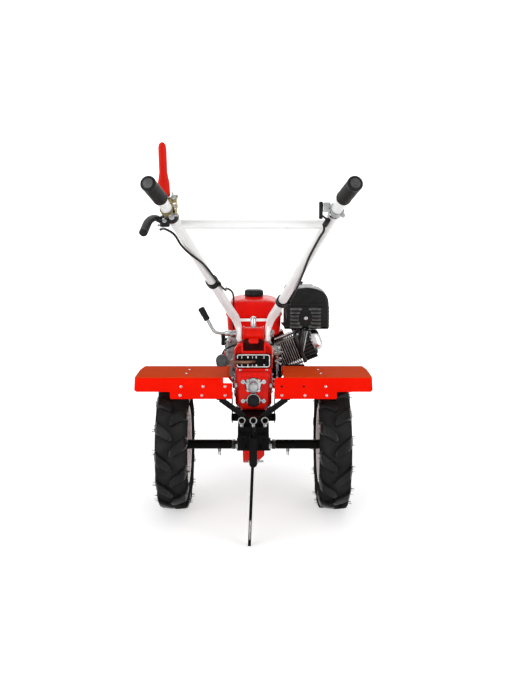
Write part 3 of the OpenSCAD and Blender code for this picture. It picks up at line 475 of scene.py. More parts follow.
for s, name in ((-1, "left"), (1, "right")):
    a, b = GRIP_A * [s, 1, 1], GRIP_B * [s, 1, 1]
    n = np.linalg.norm(b - a)
    body = [(15.4, -1), (17.5, -1.6), (19.6, 0), (20, 3), (20, 7), (19, 9)]
    ribs = [(19.0 + 0.5 * (i % 2), 10 + i * 2.1) for i in range(42)]
    tail = [(19.4, n - 9), (20, n - 8), (20, n - 4), (19.2, n - 1.4), (17.5, n), (14, n + 0.2),
        (13.4, n - 0.8), (4, n - 1)]
    face = lathe([(13.2, n - 1.2), (13, n - 0.3), (4, n + 0.5)], a, b - a, 40)
    put("handgrip_" + name, [lathe(body + ribs + tail, a, b - a, 40), tint(face, 1)], [RUBBER, LIP_HIGHLIGHT_BLACK], "handlebar",
        "grip_" + name, crease=50)

# Fuel tank: stacked rounded rectangles with a rolled seam; its cap is a rippled lathe
levels = [(607, 84, 108), (608, 92, 116), (614, 99, 121), (640, 102, 123), (676, 103.5, 124), (681, 104, 124.5),
    (682.5, 107.5, 129.5), (686.5, 108, 130.5), (689, 107.5, 129.5), (690.5, 101.5, 124.5), (706, 98.5, 122.5),
    (722, 93.5, 119.5), (730, 89.5, 116.5), (735, 85, 112.5), (738.5, 78, 106), (742, 68, 94), (746, 54, 74),
    (749, 38, 50), (750.4, 20, 28)]
put("fuel_tank_shell", [pad(levels, (0, 281), 5.0, 80)], [RED_TANK], "chassis", "fuel_tank", crease=40)
cap = [(30, 748), (33.5, 749), (35, 752, 0.9), (35.2, 766, 0.9), (34, 771, 0.7),
    (30, 774.5, 0.2), (22, 775.8), (8, 776)]
cap = [c if len(c) == 3 else c + (0.0,) for c in cap]
put("fuel_cap_ribbed", [lathe([(r, z - 748, k) for r, z, k in cap], (0, 270, 748), UP, 144,
    ripple=lambda t: np.cos(t * 24))], [PLASTIC], "chassis", "fuel_cap", crease=50)


# Wheel guards: bent sheet with bolts
def wheel_guard(s):
    """Pressed guard: a stepped rear flange, and a roof swept over a bent section as far as the front slope."""
    name = "left" if s < 0 else "right"
    inner = [(103, 518), (103, 503), (72, 503)] if s < 0 else [(103, 522), (82, 522), (72, 518)]
    o = np.array(inner + [(72, 447), (286, 447), (286, 472), (402, 472), (408, 478), (405.4, 518)], float)
    o = fillet(o * [s, 1], [0.5, 2, 3, 4, 6, 3, 4, 3, 0.5], 3)
    rear = -190
    flange = slab(o, rear, rear + 3, "y", 0.9)
    q = np.linspace(0, np.pi / 2, 6)
    outer = np.vstack([np.stack([-185 - 5 * np.cos(q), 518 + 5 * np.sin(q)], -1),
        [(-120, 523), (-50, 523), (14, 523)], smooth([(20, 522.4), (26, 520), (40, 512)], 3),
        [(72, 494.6), (104, 477)]])
    d = unit(np.gradient(outer, axis=0))
    inner = outer + np.stack([d[:, 1], -d[:, 0]], -1) * 3
    ring = np.vstack([outer, inner[::-1]])
    edge = np.interp(ring[:, 0], [rear, -60, -10, 8, 20, 30, 104], [405.4, 404, 402, 398, 391, 386, 384])
    f = np.array([0, 0.004, 0.25, 0.5, 0.75, 0.996, 1])
    x = 103 + (edge - 103) * f[:, None]
    roof = skin(np.stack([s * x, ring[:, 0] + 0 * x, ring[:, 1] + 0 * x], -1))
    parts = [flange, roof]
    if s < 0:
        parts.append(box((-103.1, -186, 520.2), (-84, 20, 523), 0.3, "z", 1))
    for x, z in ((247.5, 491), (172, 491), (97, 491), (251, 460), (176.5, 460), (97, 460)):
        if s > 0 and z > 480 and x < 200:
            parts.append(tint(lathe([(3.6, 0), (3.6, 0.4), (3, 0.5), (1.4, 0.5)], (s * x, rear, z), REAR, 20), 2))
        else:
            parts += bolt((s * x, rear - 0.2, z), REAR, 3.1, 3.6, 1)
    for x, y in ((234, -128), (228, -60)):
        parts += bolt((s * x, y, 523.2), UP, 3.1, 2.8, 1)
    put("wheel_guard_pressed_" + name, parts, [RED_SHEET, STEEL, VOID], "chassis", "wheel_guard_" + name)


wheel_guard(-1)
wheel_guard(1)


# Muffler guard: a bevelled outline carried along y, with rows of pressed louvres
def louvre(width, rise, out):
    """Pressed louvre: a shell that swells from the sheet at its top edge and stops at an open lower lip."""
    u = np.linspace(0, 1, 7)
    swell = np.sqrt(np.clip(1 - np.abs(2 * u - 1) ** 3.5, 0, 1))
    h = np.array([1.0, 0.8, 0.5, 0.2, 0.0, 0.0])
    o = np.array([0.0, 0.45, 0.8, 1.0, 1.0, -0.2])
    p = np.stack([np.repeat((u - 0.5)[:, None] * width, 6, 1), -out * (0.12 + 0.88 * swell)[:, None] * o + 0.4,
        (h - 0.5)[None] * rise + 0 * swell[:, None]], -1)
    return skin(p)


o = fillet([(114, 634), (284, 634), (284, 700), (281, 752), (262, 778), (226, 790), (196, 793), (160, 788),
    (126, 768), (114, 744)], [6, 8, 30, 22, 18, 18, 18, 22, 18, 12], 4)
parts = [slab(o, 170, 298, "y", 9, 5)]
for z in (736, 721.5):
    parts.append(sweep(np.stack([np.linspace(124, 274, 9), np.full(9, 170.4), np.full(9, z)], -1),
        np.array([0.6, 2.2, 2.6, 2.6, 2.6, 2.6, 2.6, 2.2, 0.6]), 12, UP))
for k in range(6):
    z = 712 - 13.4 * k
    cut = [0, 8, 12, 12, 8, 0][k]
    for lo, hi in ((136, 182 - cut), (207 + cut, 253)):
        v = louvre(hi - lo, 9.6, 7)
        # Louvre shells in the paler black: a painted highlight along their lips.
        parts.append(tint(moved(v, None, ((lo + hi) / 2, 170, z)), 3))
        parts.append(tint(box((lo + 2, 169.2, z - 8.2), (hi - 2, 171, z - 4.4), 0.4), 1))
    parts.append(moved(louvre(70, 8.4, 5), turn(90, "z"), (284, 234, z)))
    parts.append(tint(box((283, 201, z - 8.2), (284.6, 267, z - 4.4), 0.4), 1))
parts += bolt((196, 170, 676), REAR, 5, 3, 2)
for x, y, z in ((172, 200, 790.2), (224, 214, 790)):
    parts += bolt((x, y, z), UP, 3.6, 2.4, 2)
put("muffler_guard_pressed", parts, [CRINKLE, VOID, STEEL, LIP_HIGHLIGHT_BLACK], "chassis", "muffler_guard")

# Control cables: smooth curves beside the tubes, then free to the engine and clutch
RUN = unit(GRIP_A - BEND)
INNER = unit(np.cross(RUN, [0, 0, 1]))
UPPER = np.cross(INNER, RUN)


def beside(t, s, angle, dist):
    """Point beside a handlebar tube: share t along it, angle round it (0 inside, 90 on top), at a distance."""
    a = math.radians(angle)
    return (bar(t) + dist * (math.cos(a) * INNER + math.sin(a) * UPPER)) * [s, 1, 1]


def cable(name, route, nodes):
    """Sheathed cable: a round bar along a smooth curve, with a plated ferrule."""
    path = smooth(route, 7)
    d = unit(path[-1] - path[-3])
    tip = lathe([(3.4, 0), (4.6, 1), (4.6, 12), (3.6, 14), (3.6, 24), (2.2, 25), (1.4, 34)],
        path[-1] - d * 18, d, 16)
    piece = put(name, [sweep(path, 3.4, 10, (0.3, 0.2, 0.93)), tint(tip, 1)], [RUBBER, STEEL], None, nodes)
    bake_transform(piece)


cable("clutch_cable_run", [beside(0.882, -1, 235, 46), beside(0.839, -1, 210, 34), beside(0.782, -1, 205, 20.8),
    beside(0.725, -1, 235, 20.8), beside(0.677, -1, 265, 20.8), beside(0.629, -1, 295, 20.8),
    beside(0.553, -1, 325, 21.8), beside(0.381, -1, 345, 23.8), beside(0.35, -1, 350, 23.8),
    beside(0.301, -1, 5, 25.8), (-86, -318, 842), (-72, -240, 824), (-68, -150, 796), (-70, -80, 750),
    (-72, -30, 700), (-70, 10, 650), (-40, 40, 612), (20, 50, 602), (66, 49, 596), (84, 48, 579)],
    ("clutch_cable", "clutch_cable_lower"))
cable("throttle_cable_run", [beside(0.878, 1, 318, 26), beside(0.858, 1, 318, 26), beside(0.831, 1, 306, 25),
    beside(0.763, 1, 308, 19.8), beside(0.629, 1, 298, 19.8), beside(0.515, 1, 272, 19.8),
    beside(0.4, 1, 242, 19.8), beside(0.305, 1, 212, 20.8), beside(0.2, 1, 195, 23.8), beside(0.169, 1, 190, 23.8),
    beside(0.12, 1, 185, 25.8), (112, -110, 722), (111, 0, 690), (109, 90, 668), (109, 180, 656), (109, 296, 640),
    (124, 334, 620), (151, 344, 612)], ("throttle_cable", "throttle_cable_lower"))

parts = []
for s, t, side in ((-1, 0.381, 345), (1, 0.2, 195)):
    c, d = bar(t, s), RUN * [s, 1, 1]
    parts.append(lathe([(15.4, -12), (18.6, -13), (20, -11.6), (20, -2), (19.2, -1), (19.2, 1), (20, 2), (20, 11.6),
        (18.6, 13), (15.4, 12)], c, d, 36, loop=True))
    parts.append(sleeve(3.6, 6.4, -7, 7, beside(t, s, side, 23.8), d, 18))
put("cable_bands", parts, [RUBBER], "handlebar", "cable_clips", crease=40)

# Handlebar controls: levers swept along short curves, clamps turned round the tubes
p = bar(0.927, -1)
z = np.array([0, 0.6, 4, 20, 38, 52, 64, 90, 118, 128, 134, 138, 141, 142.4, 143])
wide = np.interp(z, [0, 4, 38, 52, 64, 118, 128, 134, 138, 141, 143],
    [14, 16, 15.2, 12.4, 10.6, 10.6, 10.4, 9.4, 7.6, 5.2, 1])
thick = np.interp(z, [0, 0.6, 4, 38, 64, 128, 138, 143], [3.6, 4.6, 5.4, 5.6, 5.6, 5.4, 4.4, 0.8])
blade = sweep(np.stack([0 * z, 0 * z, z], -1), wide, 28, AHEAD, thick, power=2.5)
rib = slab(fillet([(-6, 6), (6, 6), (4, 50), (-4, 50)], 4, 4), -6.6, 0, "y", 1.6, 3)
spot = p + [-8, 0, 34.3]
put("stop_lever_blade", [moved(blade, turn(14, "x"), spot), moved(rib, turn(14, "x"), spot)], [RED_GRIP],
    "handlebar", "stop_lever")

d = RUN * [-1, 1, 1]
parts = [sleeve(15.3, 19, -11, 11, p, d), box(p + [12, -9, -20], p + [15, 9, 46], 0.7, "x", 4),
    box(p + [22, -9, -12], p + [25, 9, 40], 0.7, "x", 4), box(p + [-18, -9, 29], p + [25, 9, 33], 0.9, "z", 4),
    box(p + [-18, -9, 18], p + [22, -6, 33], 0.7, "y", 3), tint(rod(p + [10, -3, 10], p + [28, -3, 10], 4.6), 1),
    tint(rod(p + [8, 2, -14], p + [27, 2, -14], 3.6), 1)]
for place, way, r, h in (([-9, -9, 26], REAR, 4.6, 4), ([25, -3, 34], RIGHT, 4.6, 4),
        ([17, -9.5, 34], REAR, 4.4, 4), ([12, -15, -18], REAR, 5, 5)):
    parts += bolt(p + place, way, r, h, 1)
parts.append(tint(sleeve(15.3, 18.4, -5, 5, bar(0.885, -1) + 26 * d, d, 32), 1))
put("stop_lever_bracket", parts, [ZINC, STEEL], "handlebar", "stop_bracket")

p = bar(0.89, -1)
path = smooth([p + [-20, 0, -18], p + [-40, -14, -6], p + [-54, -49, -13], p + [-61, -99, -37],
    p + [-62.5, -108, -41]], 7)
wide = np.interp(np.linspace(0, 1, len(path)), [0, 0.2, 0.4, 0.6, 0.95, 1], [8, 9.5, 10.5, 11.5, 11.5, 7])
parts = [sweep(path, wide, 20, UP, wide * 0.9), sleeve(15.3, 19, -12.5, 12.5, p, d, ease=(0.6, 1)),
    box(p + [-30, -12, -30], p + [-4, 12, -2], 3, "z", 7)]
parts += bolt(p + [-17, -12, -12], REAR, 4.4, 3.5, 1) + bolt(p + [-24, 0, -2.5], UP, 4, 3, 1)
parts.append(tint(rod(p + [-31, -4, -24], p + [-36, -5, -27], 3), 1))
put("clutch_hand_lever", parts, [PLASTIC, STEEL], "handlebar", "clutch_lever")

p = bar(0.922)
parts = [lathe([(15.3, -11.4), (19.4, -11.4), (20, -10.4), (20, -3), (19.3, -2), (19.3, 2), (20, 3), (20, 10.4),
    (19.4, 11.4), (15.3, 11.4)], p, RUN, 36, loop=True), box(p + [-35, -8, -4], p + [-15, -3, 22], 1.4, "y", 5),
    box(p + [-35, 2, -4], p + [-15, 8, 22], 1.4, "y", 5), box(p + [-34, -5, -3], p + [-17, 5, 4], 1, "z", 3),
    rod(p + [17, -12, -12], p + [17, 10, -12], 5)]
parts += [lathe([(7, 0), (7.4, 1), (7, 5.5), (5.6, 6.8), (3, 7)], p + [-27, -8, 12], REAR, 24)]
parts += bolt(p + [17, -12, -12], REAR, 4.6, 4) + bolt(p + [8, -19.5, 2], (0.1, -1, 0.2), 4, 3)
put("throttle_tube_clamp", parts, [STEEL], "handlebar", "throttle_clamp")
a, b = beside(0.9, 1, 318, 26), beside(0.86, 1, 318, 26)
n = np.linalg.norm(b - a)
folds = [(7.4 - 0.9 * (i % 2), 2 + i * (n - 8) / 12) for i in range(13)]
boot = [(3.5, -1), (7, 0)] + folds + [(5, n - 3), (3.6, n)]
parts = [lathe(boot, a, b - a, 24), box(p + [-45, -7, -22], p + [-35.2, 7, 24], 2.5, "x", 6),
    sweep(smooth([p + [-38, -1, 20], p + [-39, -6, 8], p + [-38, -2, -10], a], 6), 2.6, 10, (0, 1, 0.2))]
put("throttle_thumb_lever", parts, [PLASTIC], "handlebar", "throttle_lever", crease=50)

path = smooth([(-100, -90, 660), (-108, -90, 660), (-126, -90, 662), (-138, -90, 668), (-149, -90, 686),
    (-160, -90, 706), (-163, -90, 711)], 7)
parts = [sweep(path, 6, 16, AHEAD), rod((-100.5, -90, 660), (72.4, -90, 660), 8, 1.2, 28), rod((-98.6, -90, 660),
    (-60.6, -90, 660), 10, 1.5, 32), sleeve(8, 14, 0, 3, (60.4, -90, 660), RIGHT, 32, (0.6, 0.8))]
parts += bolt((63.4, -90, 660), RIGHT, 12.5, 9)
parts.append(lathe([(8, 0), (12.6, 0), (13, 0.6), (13, 2), (8, 2.6)], (-60.7, -90, 660), LEFT, 32, loop=True))
put("clamp_lever_rod", parts, [STEEL], "handlebar", "clamp_bolt")
a, b = np.array([-160.2, -90, 706.4]), np.array([-184, -90, 750.0])
n = np.linalg.norm(b - a)
put("clamp_lever_grip", [lathe([(6, 0), (9.4, 0.4), (10.6, 2), (11, 6), (10.6, 14), (11.4, 26), (11.8, n - 8),
    (11, n - 3), (8.4, n - 0.6), (3, n)], a, b - a, 28)], [RUBBER], "handlebar", "clamp_grip", crease=50)
put("lock_plunger_turned", [lathe([(7, 0), (9.4, 0.4), (10, 1.4), (10, 12), (9.2, 13), (9.2, 15),
    (10, 16), (10, 34.4), (9.2, 35.8), (7, 36), (7, 38), (6, 39), (3, 39)], (0, -115, 684), UP, 32)], [STEEL],
    "handlebar", "lock_plunger")

# Pedestal and gear gate: plates with rolled edges round a turned barrel
end = [(8.2, -38), (23, -38), (25, -37), (25, -31.5), (24, -30.3), (21.8, -29.6), (21.4, -12), (21.4, 0)]
end = end + [(r, -x) for r, x in end[-2::-1]]
parts = [lathe(end, (0, -90, 660), RIGHT, 48, loop=True), box((-26, -92, 641), (26, -42, 675), 4, "x", 8),
    box((-17, -116, 627), (17, -98, 646), 3, "y", 5), box((-36.5, -64, 546), (36.5, -41, 649), 3, "y", 4)]
for s in SIDES:
    o = np.array([(37.4, 546.6), (64.8, 546.6), (64.8, 609.4), (60, 618), (51.2, 630.2), (37.4, 630.2)]) * [s, 1]
    # Recessed floor of each cheek in the darker red: painted shade of the recess.
    parts.append(tint(slab(fillet(o, 3, 3), -128.6, -112.4, "y", 1.2), 2))
    o = np.array([(36.2, 545.4), (42, 545.4), (42, 621), (50, 621), (56, 615), (60.5, 606), (60.5, 545.4),
        (66, 545.4), (66, 610), (61, 619), (52, 631.4), (36.2, 631.4)]) * [s, 1]
    parts.append(slab(fillet(o, 2, 3), -134.4, -113, "y", 0.9))
    o = np.array([(36.2, 545.4), (65, 545.4), (65, 596), (54, 607), (50, 622), (36.2, 625)]) * [s, 1]
    parts.append(slab(fillet(o, [1, 3, 6, 5, 4, 3], 3), -114, -42, "y", 2.4))
parts.append(tint(box((-36, -66.4, 548), (36, -64.5, 640), 0.5, "y", 2), 1))
parts.append(box((-36.6, -134.2, 588), (36.6, -120, 604), 1.8, "x", 2.4))
put("pedestal_casting", parts, [RED_CAST, SHADE, RED_PAINTED_SHADE], "chassis", "pedestal")

o = fillet([(-59, 547.2), (59, 547.2), (59, 596), (-59, 596), (-59, 577), (42, 577), (42, 562), (-59, 562)],
    [9, 9, 9, 9, 2, 6, 6, 2], 4)
parts = [slab(o, -144, -136, "y", 1.2)]
line = fillet([(-55.4, 580), (-55.4, 592.6), (55.4, 592.6), (55.4, 550.6), (-55.4, 550.6), (-55.4, 559)],
    [0.1, 8, 8, 8, 8, 0.1], 5)
parts.append(tint(sweep(np.stack([line[:, 0], np.full(len(line), -144.2), line[:, 1]], -1),
    1.45, 10, AHEAD, 0.8), 1))
STROKES = {
    "1": [(-0.3, 0.6), (0.1, 1), (0.1, -1)],
    "2": [(-0.6, 0.6), (0, 1), (0.6, 0.5), (-0.6, -1), (0.6, -1)],
    "3": [(-0.6, 0.9), (0.5, 0.9), (-0.1, 0.1), (0.6, -0.4), (0, -1), (-0.6, -0.7)],
    "R": [(-0.5, -1), (-0.5, 1), (0.4, 0.8), (0.4, 0.2), (-0.5, 0), (0.6, -1)],
    "N": [(-0.5, -1), (-0.5, 1), (0.5, -1), (0.5, 1)],
}
for z, row in ((584.4, "3N1R2"), (555.6, "2R1N3")):
    for x, sign in zip((-40.5, -19, -3.6, 10, 36.4), row):
        q = np.repeat(np.array(STROKES[sign]), 2, 0)[1:-1]
        q = np.linspace(q[::2], q[1::2], 5, axis=1).reshape(-1, 2) * [2.7, 3.6]
        q = q[np.r_[True, np.linalg.norm(np.diff(q, axis=0), axis=1) > 1e-6]]
        line = np.stack([q[:, 0] + x, np.full(len(q), -144.3), q[:, 1] + z], -1)
        parts.append(tint(sweep(line, 0.85, 6, AHEAD, 0.6), 1))
parts.append(tint(box((-54, -136, 556), (50, -134.5, 583), 0.4, "y", 2), 2))
put("gear_gate_plate", parts, [BLACK, MARK, VOID], "chassis", "gear_plate")
path = smooth([(20, -118, 567), (2, -134, 568), (-18, -152, 569), (-50, -160, 570),
    (-84, -162, 571), (-100, -163, 573)], 7)
put("shift_rod", [sweep(path, 5.4, 16, UP)], [OILED], "chassis", "gear_lever")
ball = [(21.5 * math.cos(math.radians(a)), 577 + 21.5 * math.sin(math.radians(a))) for a in np.linspace(-20, 86, 12)]
knob = [(9, 558), (15, 558), (17.6, 559), (19.2, 562)] + ball
put("shift_knob", [lathe([(r, z - 558) for r, z in knob], (-108, -163, 558), UP, 40),
    rod((-91, -163, 572), (-84, -163, 571.4), 8.5, 1.5)], [KNOB], "chassis", "gear_knob", crease=50)

# Gearbox cover, caps and plug: a crowned plate with turned fittings
o = fillet([(-41, 400), (41, 400), (63, 420), (63, 544), (-63, 544), (-63, 420)], [4, 4, 5, 11, 11, 5], 4)
parts = [slab(o, -146, -132.2, "y", 2)]
o = fillet([(-37, 407), (37, 407), (55, 423), (55, 536), (-55, 536), (-55, 423)], [5, 5, 7, 14, 14, 7], 5)
parts.append(slab(o, COVER_FACE, -143, "y", 9, 5))
for x, z in ((-60, 488), (60, 486.5), (-50, 418), (50, 416.5)):
    parts.append(lathe([(9, 0), (9, 9), (8.4, 10), (4, 10)], (x, -144, z), REAR, 24))
    parts += bolt((x, -154, z), REAR, 5.2, 5, 1)
for s in SIDES:
    parts.append(box((s * 14, -171.5, 519), (s * 44, -160, 533), 3, "y", 6))
    parts += bolt((s * 45.5, -146.2, 539.5), REAR, 2.8, 3, 1)
put("gearbox_rear_cover", parts, [RED_CAST, STEEL], "chassis", "gearbox_cover")


def ear(root, tip, widths):
    """Cast ear: a flat arm swept from root to tip, ending in a turned eye with a bolt."""
    eye = np.array(tip, float)
    arm = sweep(np.linspace(root, tip, len(widths)), np.array(widths), 12, AHEAD, 2.6)
    ring = sleeve(3, 7.8, -3.4, 3.4, eye - [0, 0.4, 0], AHEAD, 24, (0.8, 1))
    return [arm, ring] + bolt(eye - [0, 3, 0], REAR, 3.4, 3.4, 0, False)


parts = [lathe([(18, 0.2), (25, 0.2), (25.4, 1), (25.4, 4), (24.4, 5.2), (19, 6)], (0, COVER_FACE, 491), REAR, 40),
    lathe([(15, 4), (17, 5), (17.2, 8), (17.2, 33), (16.4, 37), (14.4, 39), (12.6, 39.2), (11.8, 38.2), (5, 38)],
    (0, COVER_FACE, 491), REAR, 40)]
for s in SIDES:
    parts += ear((s * 16, -173, 495), (s * 36, -173, 504), [5, 4.4, 4, 4.4, 4.8])
    for z in (474, 508):
        parts += bolt((s * 18, -175, z), REAR, 3.8, 4)
parts.append(tint(lathe([(10, 0), (28, 0), (28, 0.8), (10, 0.8)], (0, COVER_FACE, 491), REAR, 40), 1))
put("pto_cap_turned", parts, [STEEL, VOID], "chassis", "pto_cap")
parts = [lathe([(19.7, 0.2), (23.6, 0.2), (24.2, 1), (24.2, 8), (23.2, 10), (21, 10.6), (19.7, 9.6)],
    (0, COVER_FACE, 440), REAR, 44, loop=True)]
for s in SIDES:
    parts += ear((s * 21, -173, 439), (s * 36, -173, 437), [5, 4.2, 4.2, 4.8])
put("pto_plug_ring", parts, [STEEL], "chassis", "pto_ring")
put("pto_plug_turned", [lathe([(17, 0.4), (19.4, 0.6), (19.4, 14), (18.6, 15.2),
    (14.6, 15.6), (14, 14.6), (13, 14.6), (12.6, 17), (11.6, 18), (4, 18.2)], (0, COVER_FACE, 440), REAR, 44)],
    [PLASTIC], "chassis", "pto_plug")

# Cylinder, head and valve cover: fins and blocks along the leaning bore
LEAN = turn(-22, "y")
BORE = np.array([0, 222, CRANK_Z], float)


def on_bore(part):
    """A form drawn along the cylinder's own line (its x runs out of the crankcase), set in place."""
    return moved(part, LEAN, BORE)


fin = slab(fillet([(-62, -62), (62, -62), (62, 62), (-62, 62)], 15, 4), 0, 3.4, "x", 1.2, 2)
parts = [on_bore(copies(fin, [(106 + 8.4 * i, 0, 0) for i in range(9)])),
    tint(on_bore(rod((103, 0, 0), (183, 0, 0), 47, 1, 40)), 2)]
parts += [tint(on_bore(box((112, -67, 69), (181, -56, 74), 1.5, "x", 3)), 1)]
parts += [on_bore(copies(box((103, -6, -4), (182, 2, 4), 2, "x", 3),
    [(0, y, z) for y in (-50, 50) for z in (-50, 50)]))]
put("cylinder_finned", parts, [DARK_ALLOY, BARE, VOID], "chassis", "cylinder")
head = [on_bore(slab(fillet([(-60, -58), (60, -58), (60, 58), (-60, 58)], 10, 4), 182.6, 196, "x", 2.5)),
    on_bore(slab(fillet([(-44, -44), (44, -44), (44, 52), (-44, 52)], 10, 4), 194, 246, "x", 2))]
head += [on_bore(copies(slab(fillet([(-60, -2.4), (60, -2.4), (60, 2.4), (-60, 2.4)], 2, 2), 195, 242, "x", 1.2),
    [(0, 0, z) for z in (-50, -36, -22, -8, 6, 20, 34, 48)]))]
# Dark exhaust pipe, with a thin bright steel strip along its edge as a painted highlight.
head += [tint(rod((190, 166, 632), (176, 166, 548), 11, 2, 28), 2),
    tint(sweep(np.linspace((201, 158.4, 630), (187, 158.4, 552), 6), 2.2, 10, AHEAD), 1)]
for y, z in ((-40, -48), (40, -48), (-40, 50), (40, 50)):
    head += map(on_bore, bolt((196, y, z), RIGHT, 7, 8, 1))
put("cylinder_head_finned", head, [SHROUD_AND_BELL_SHADE, STEEL, OXIDE], "chassis", "cylinder_head")
dome = pad([(-12, 44, 47), (-11, 46, 49), (-5, 46, 49), (-4, 44, 47), (-2, 42, 45), (12, 41, 44), (22, 37, 41),
    (28, 31, 36), (31, 22, 28), (32, 9, 12)], (-4, 0), 3.4, 56)
parts = [on_bore(moved(dome, turn(90, "y"), (246.2, 0, 0)))]
for y, z in ((-40, -34), (40, -34), (-40, 42), (40, 42)):
    parts += map(on_bore, bolt((246, y, z), RIGHT, 4.2, 4, 1))
rim = [(-13, 45, 48), (-12.4, 48, 51), (-8.6, 48, 51), (-8, 45, 48)]
parts.append(tint(on_bore(moved(pad(rim, (-4, 0), 3.4, 56), turn(90, "y"), (246.2, 0, 0))), 2))
put("valve_cover_pressed", parts, [BRIGHT, STEEL, BLACK], "chassis", "valve_cover")


# Gearbox case: a lobe carried across the axle, and a chamfered upper case
def arc(y, z, r, a, b, n):
    """Points on a circle round (y, z), from angle a to b in degrees."""
    t = np.radians(np.linspace(a, b, n))
    return [tuple(p) for p in np.stack([y + r * np.cos(t), z + r * np.sin(t)], -1)]


o = fillet(arc(0, AXLE_Z, 68, 215, 345, 15) + [(102, 324), (102, 430), (-126, 430), (-126, 318)], 5, 2)
x = np.concatenate([[-39, -38.6, -37, -34], np.linspace(-28, 28, 15), [34, 37, 38.6, 39]])
rings = np.stack([inset(o, d) for d in np.interp(np.abs(x), [34, 37, 38.6, 39], [0, 0.8, 2.6, 5])])
lobe = np.concatenate([x[:, None, None] + 0 * rings[..., :1], rings], -1)
lobe[..., 2] = np.where((lobe[..., 0] > 9) & (lobe[..., 2] < 240),
    np.maximum(lobe[..., 2], 175 + (lobe[..., 0] - 9) * 1.15), lobe[..., 2])
parts = [skin(lobe)]
o = fillet([(-30, 396), (30, 396), (60, 426), (60, 545), (-60, 545), (-60, 426)], [6, 6, 6, 8, 8, 6], 4)
parts += [slab(o, -132, 102, "y", 5, 4), tint(rod((-62, 0, AXLE_Z), (62, 0, AXLE_Z), 24, 2, 40), 4)]
for s in SIDES:
    parts += [rod((s * 54, -30, 470), (s * 66, -30, 470), 38, 3, 48), rod((s * 36, 40, 352), (s * 47, 40, 352), 34,
        3, 48), rod((s * 64, -30, 470), (s * 68, -30, 470), 26, 2, 40)]
    for k in range(6):
        a = math.radians(60 * k + 20)
        parts += bolt((s * 66, -30 + 31 * math.cos(a), 470 + 31 * math.sin(a)), (s, 0, 0), 4.2, 4.5, 1, False)
        parts += bolt((s * 47, 40 + 27 * math.cos(a), 352 + 27 * math.sin(a)), (s, 0, 0), 4.2, 4.5, 1, False)
    for y in (-100, -66, 60, 86):
        parts.append(box((s * 58, y - 3, 420), (s * 63, y + 3, 532), 1.4, "x", 3))
    parts.append(tint(box((s * 50, -31, 226), (s * 66, -24.6, 243), 0.9, "y", 2), 2))
    parts += bolt((s * 58, -31, 234.5), REAR, 4.4, 4, 1)
parts.append(tint(lathe([(10, 0), (15, 0.5), (16, 2), (16, 8), (14, 11), (6, 12)], (0, 60, 545), UP, 32,
    ripple=lambda t: 0.8 * np.cos(10 * t)), 3))
put("gearbox_casting", parts, [RED_CAST, STEEL, DULL_ZINC, PLASTIC, OXIDE], "chassis", "gearbox_case")

# Guard braces: flat struts, side straps and the cross plate
o = [(-78, 355), (78, 355), (78, 382), (41, 382), (41, 395.4), (-41, 395.4), (-41, 382), (-78, 382)]
parts = [slab(fillet(o, [5, 5, 5, 2, 3, 3, 2, 5], 4), -133.7, -126.4, "y", 1.6)]
for s in SIDES:
    parts.append(sweep(np.linspace((s * 26.0, -226, 392), (s * 114.0, -177, 445), 9), 10.5, 16,
        (0, 1, 0.3), 3, power=6))
    parts.append(box((s * 39 - 13, -236, 366.2), (s * 39 + 13, -206, 372.6), 1.6, "z", 5))
    parts.append(box((s * 72, -186.6, 360), (s * 75, -126.5, 460), 0.8, "x", 6))
    parts.append(slab(fillet([(s * 92, 442), (s * 128, 442), (s * 128, 476), (s * 92, 476)], 7, 4),
        -186.6, -179, "y", 1.4))
    for z in (364, 374):
        parts += bolt((s * 66, -133.8, z), REAR, 3.4, 3.4)
parts.append(box((114, 21, 516.5), (185, 33, 527), 1, "x", 2))
put("guard_brace_bars", parts, [BLACK], "chassis", "guard_braces")

# Clutch linkage and hitch fittings: rods, a coil spring, brackets and weld beads
t = np.linspace(0, 2 * np.pi * 8, 8 * 12)
coil = np.stack([84 + 7 * np.cos(t), 48 + 7 * np.sin(t), 500 + 42 * t / t[-1]], -1)
parts = [rod((84, 48, 468), (84, 48, 576), 4, 0.8, 20), sweep(coil, 1.3, 6, UP),
    lathe([(5, 0), (8, 0), (8, 8.4), (5, 8.4)], (84, 48, 552), UP, 6), lathe([(5, 0), (8, 0), (8, 6), (5, 6)],
    (84, 48, 544), UP, 6), box((60, 40, 466), (94, 56, 473), 1.6, "z", 5), rod((84, 40, 478), (84, 57, 478), 5),
    tint(box((58, 34, 561), (97, 37, 594), 0.8, "y", 5), 1), tint(box((58, 36, 560), (96, 62, 566), 0.9, "z", 5),
    1), tint(box((60, 40, 545.2), (72, 56, 565), 1.4, "z", 3), 1),
    tint(box((66, 10, 552), (69, 60, 590), 0.8, "x", 6), 1), tint(box((70, 66, 452), (102, 69, 558), 0.8, "y", 8),
    2), rod((72, 26, 580), (104, 26, 572), 3.4), rod((76, 20, 540), (100, 18, 530), 4)]
for place, way, r, h in (((90, 34, 586), REAR, 4.2, 4), ((66, 34, 586), REAR, 4.2, 4), ((78, 34, 570), REAR, 4.2,
        4), ((70, 24, 582), RIGHT, 5, 5), ((96, 66, 540), REAR, 4.6, 4), ((82, 66, 528), REAR, 4.6, 4)):
    parts += bolt(place, way, r, h)
put("clutch_release_rod", parts, [STEEL, DULL_ZINC, BLACK], "chassis", "clutch_linkage")

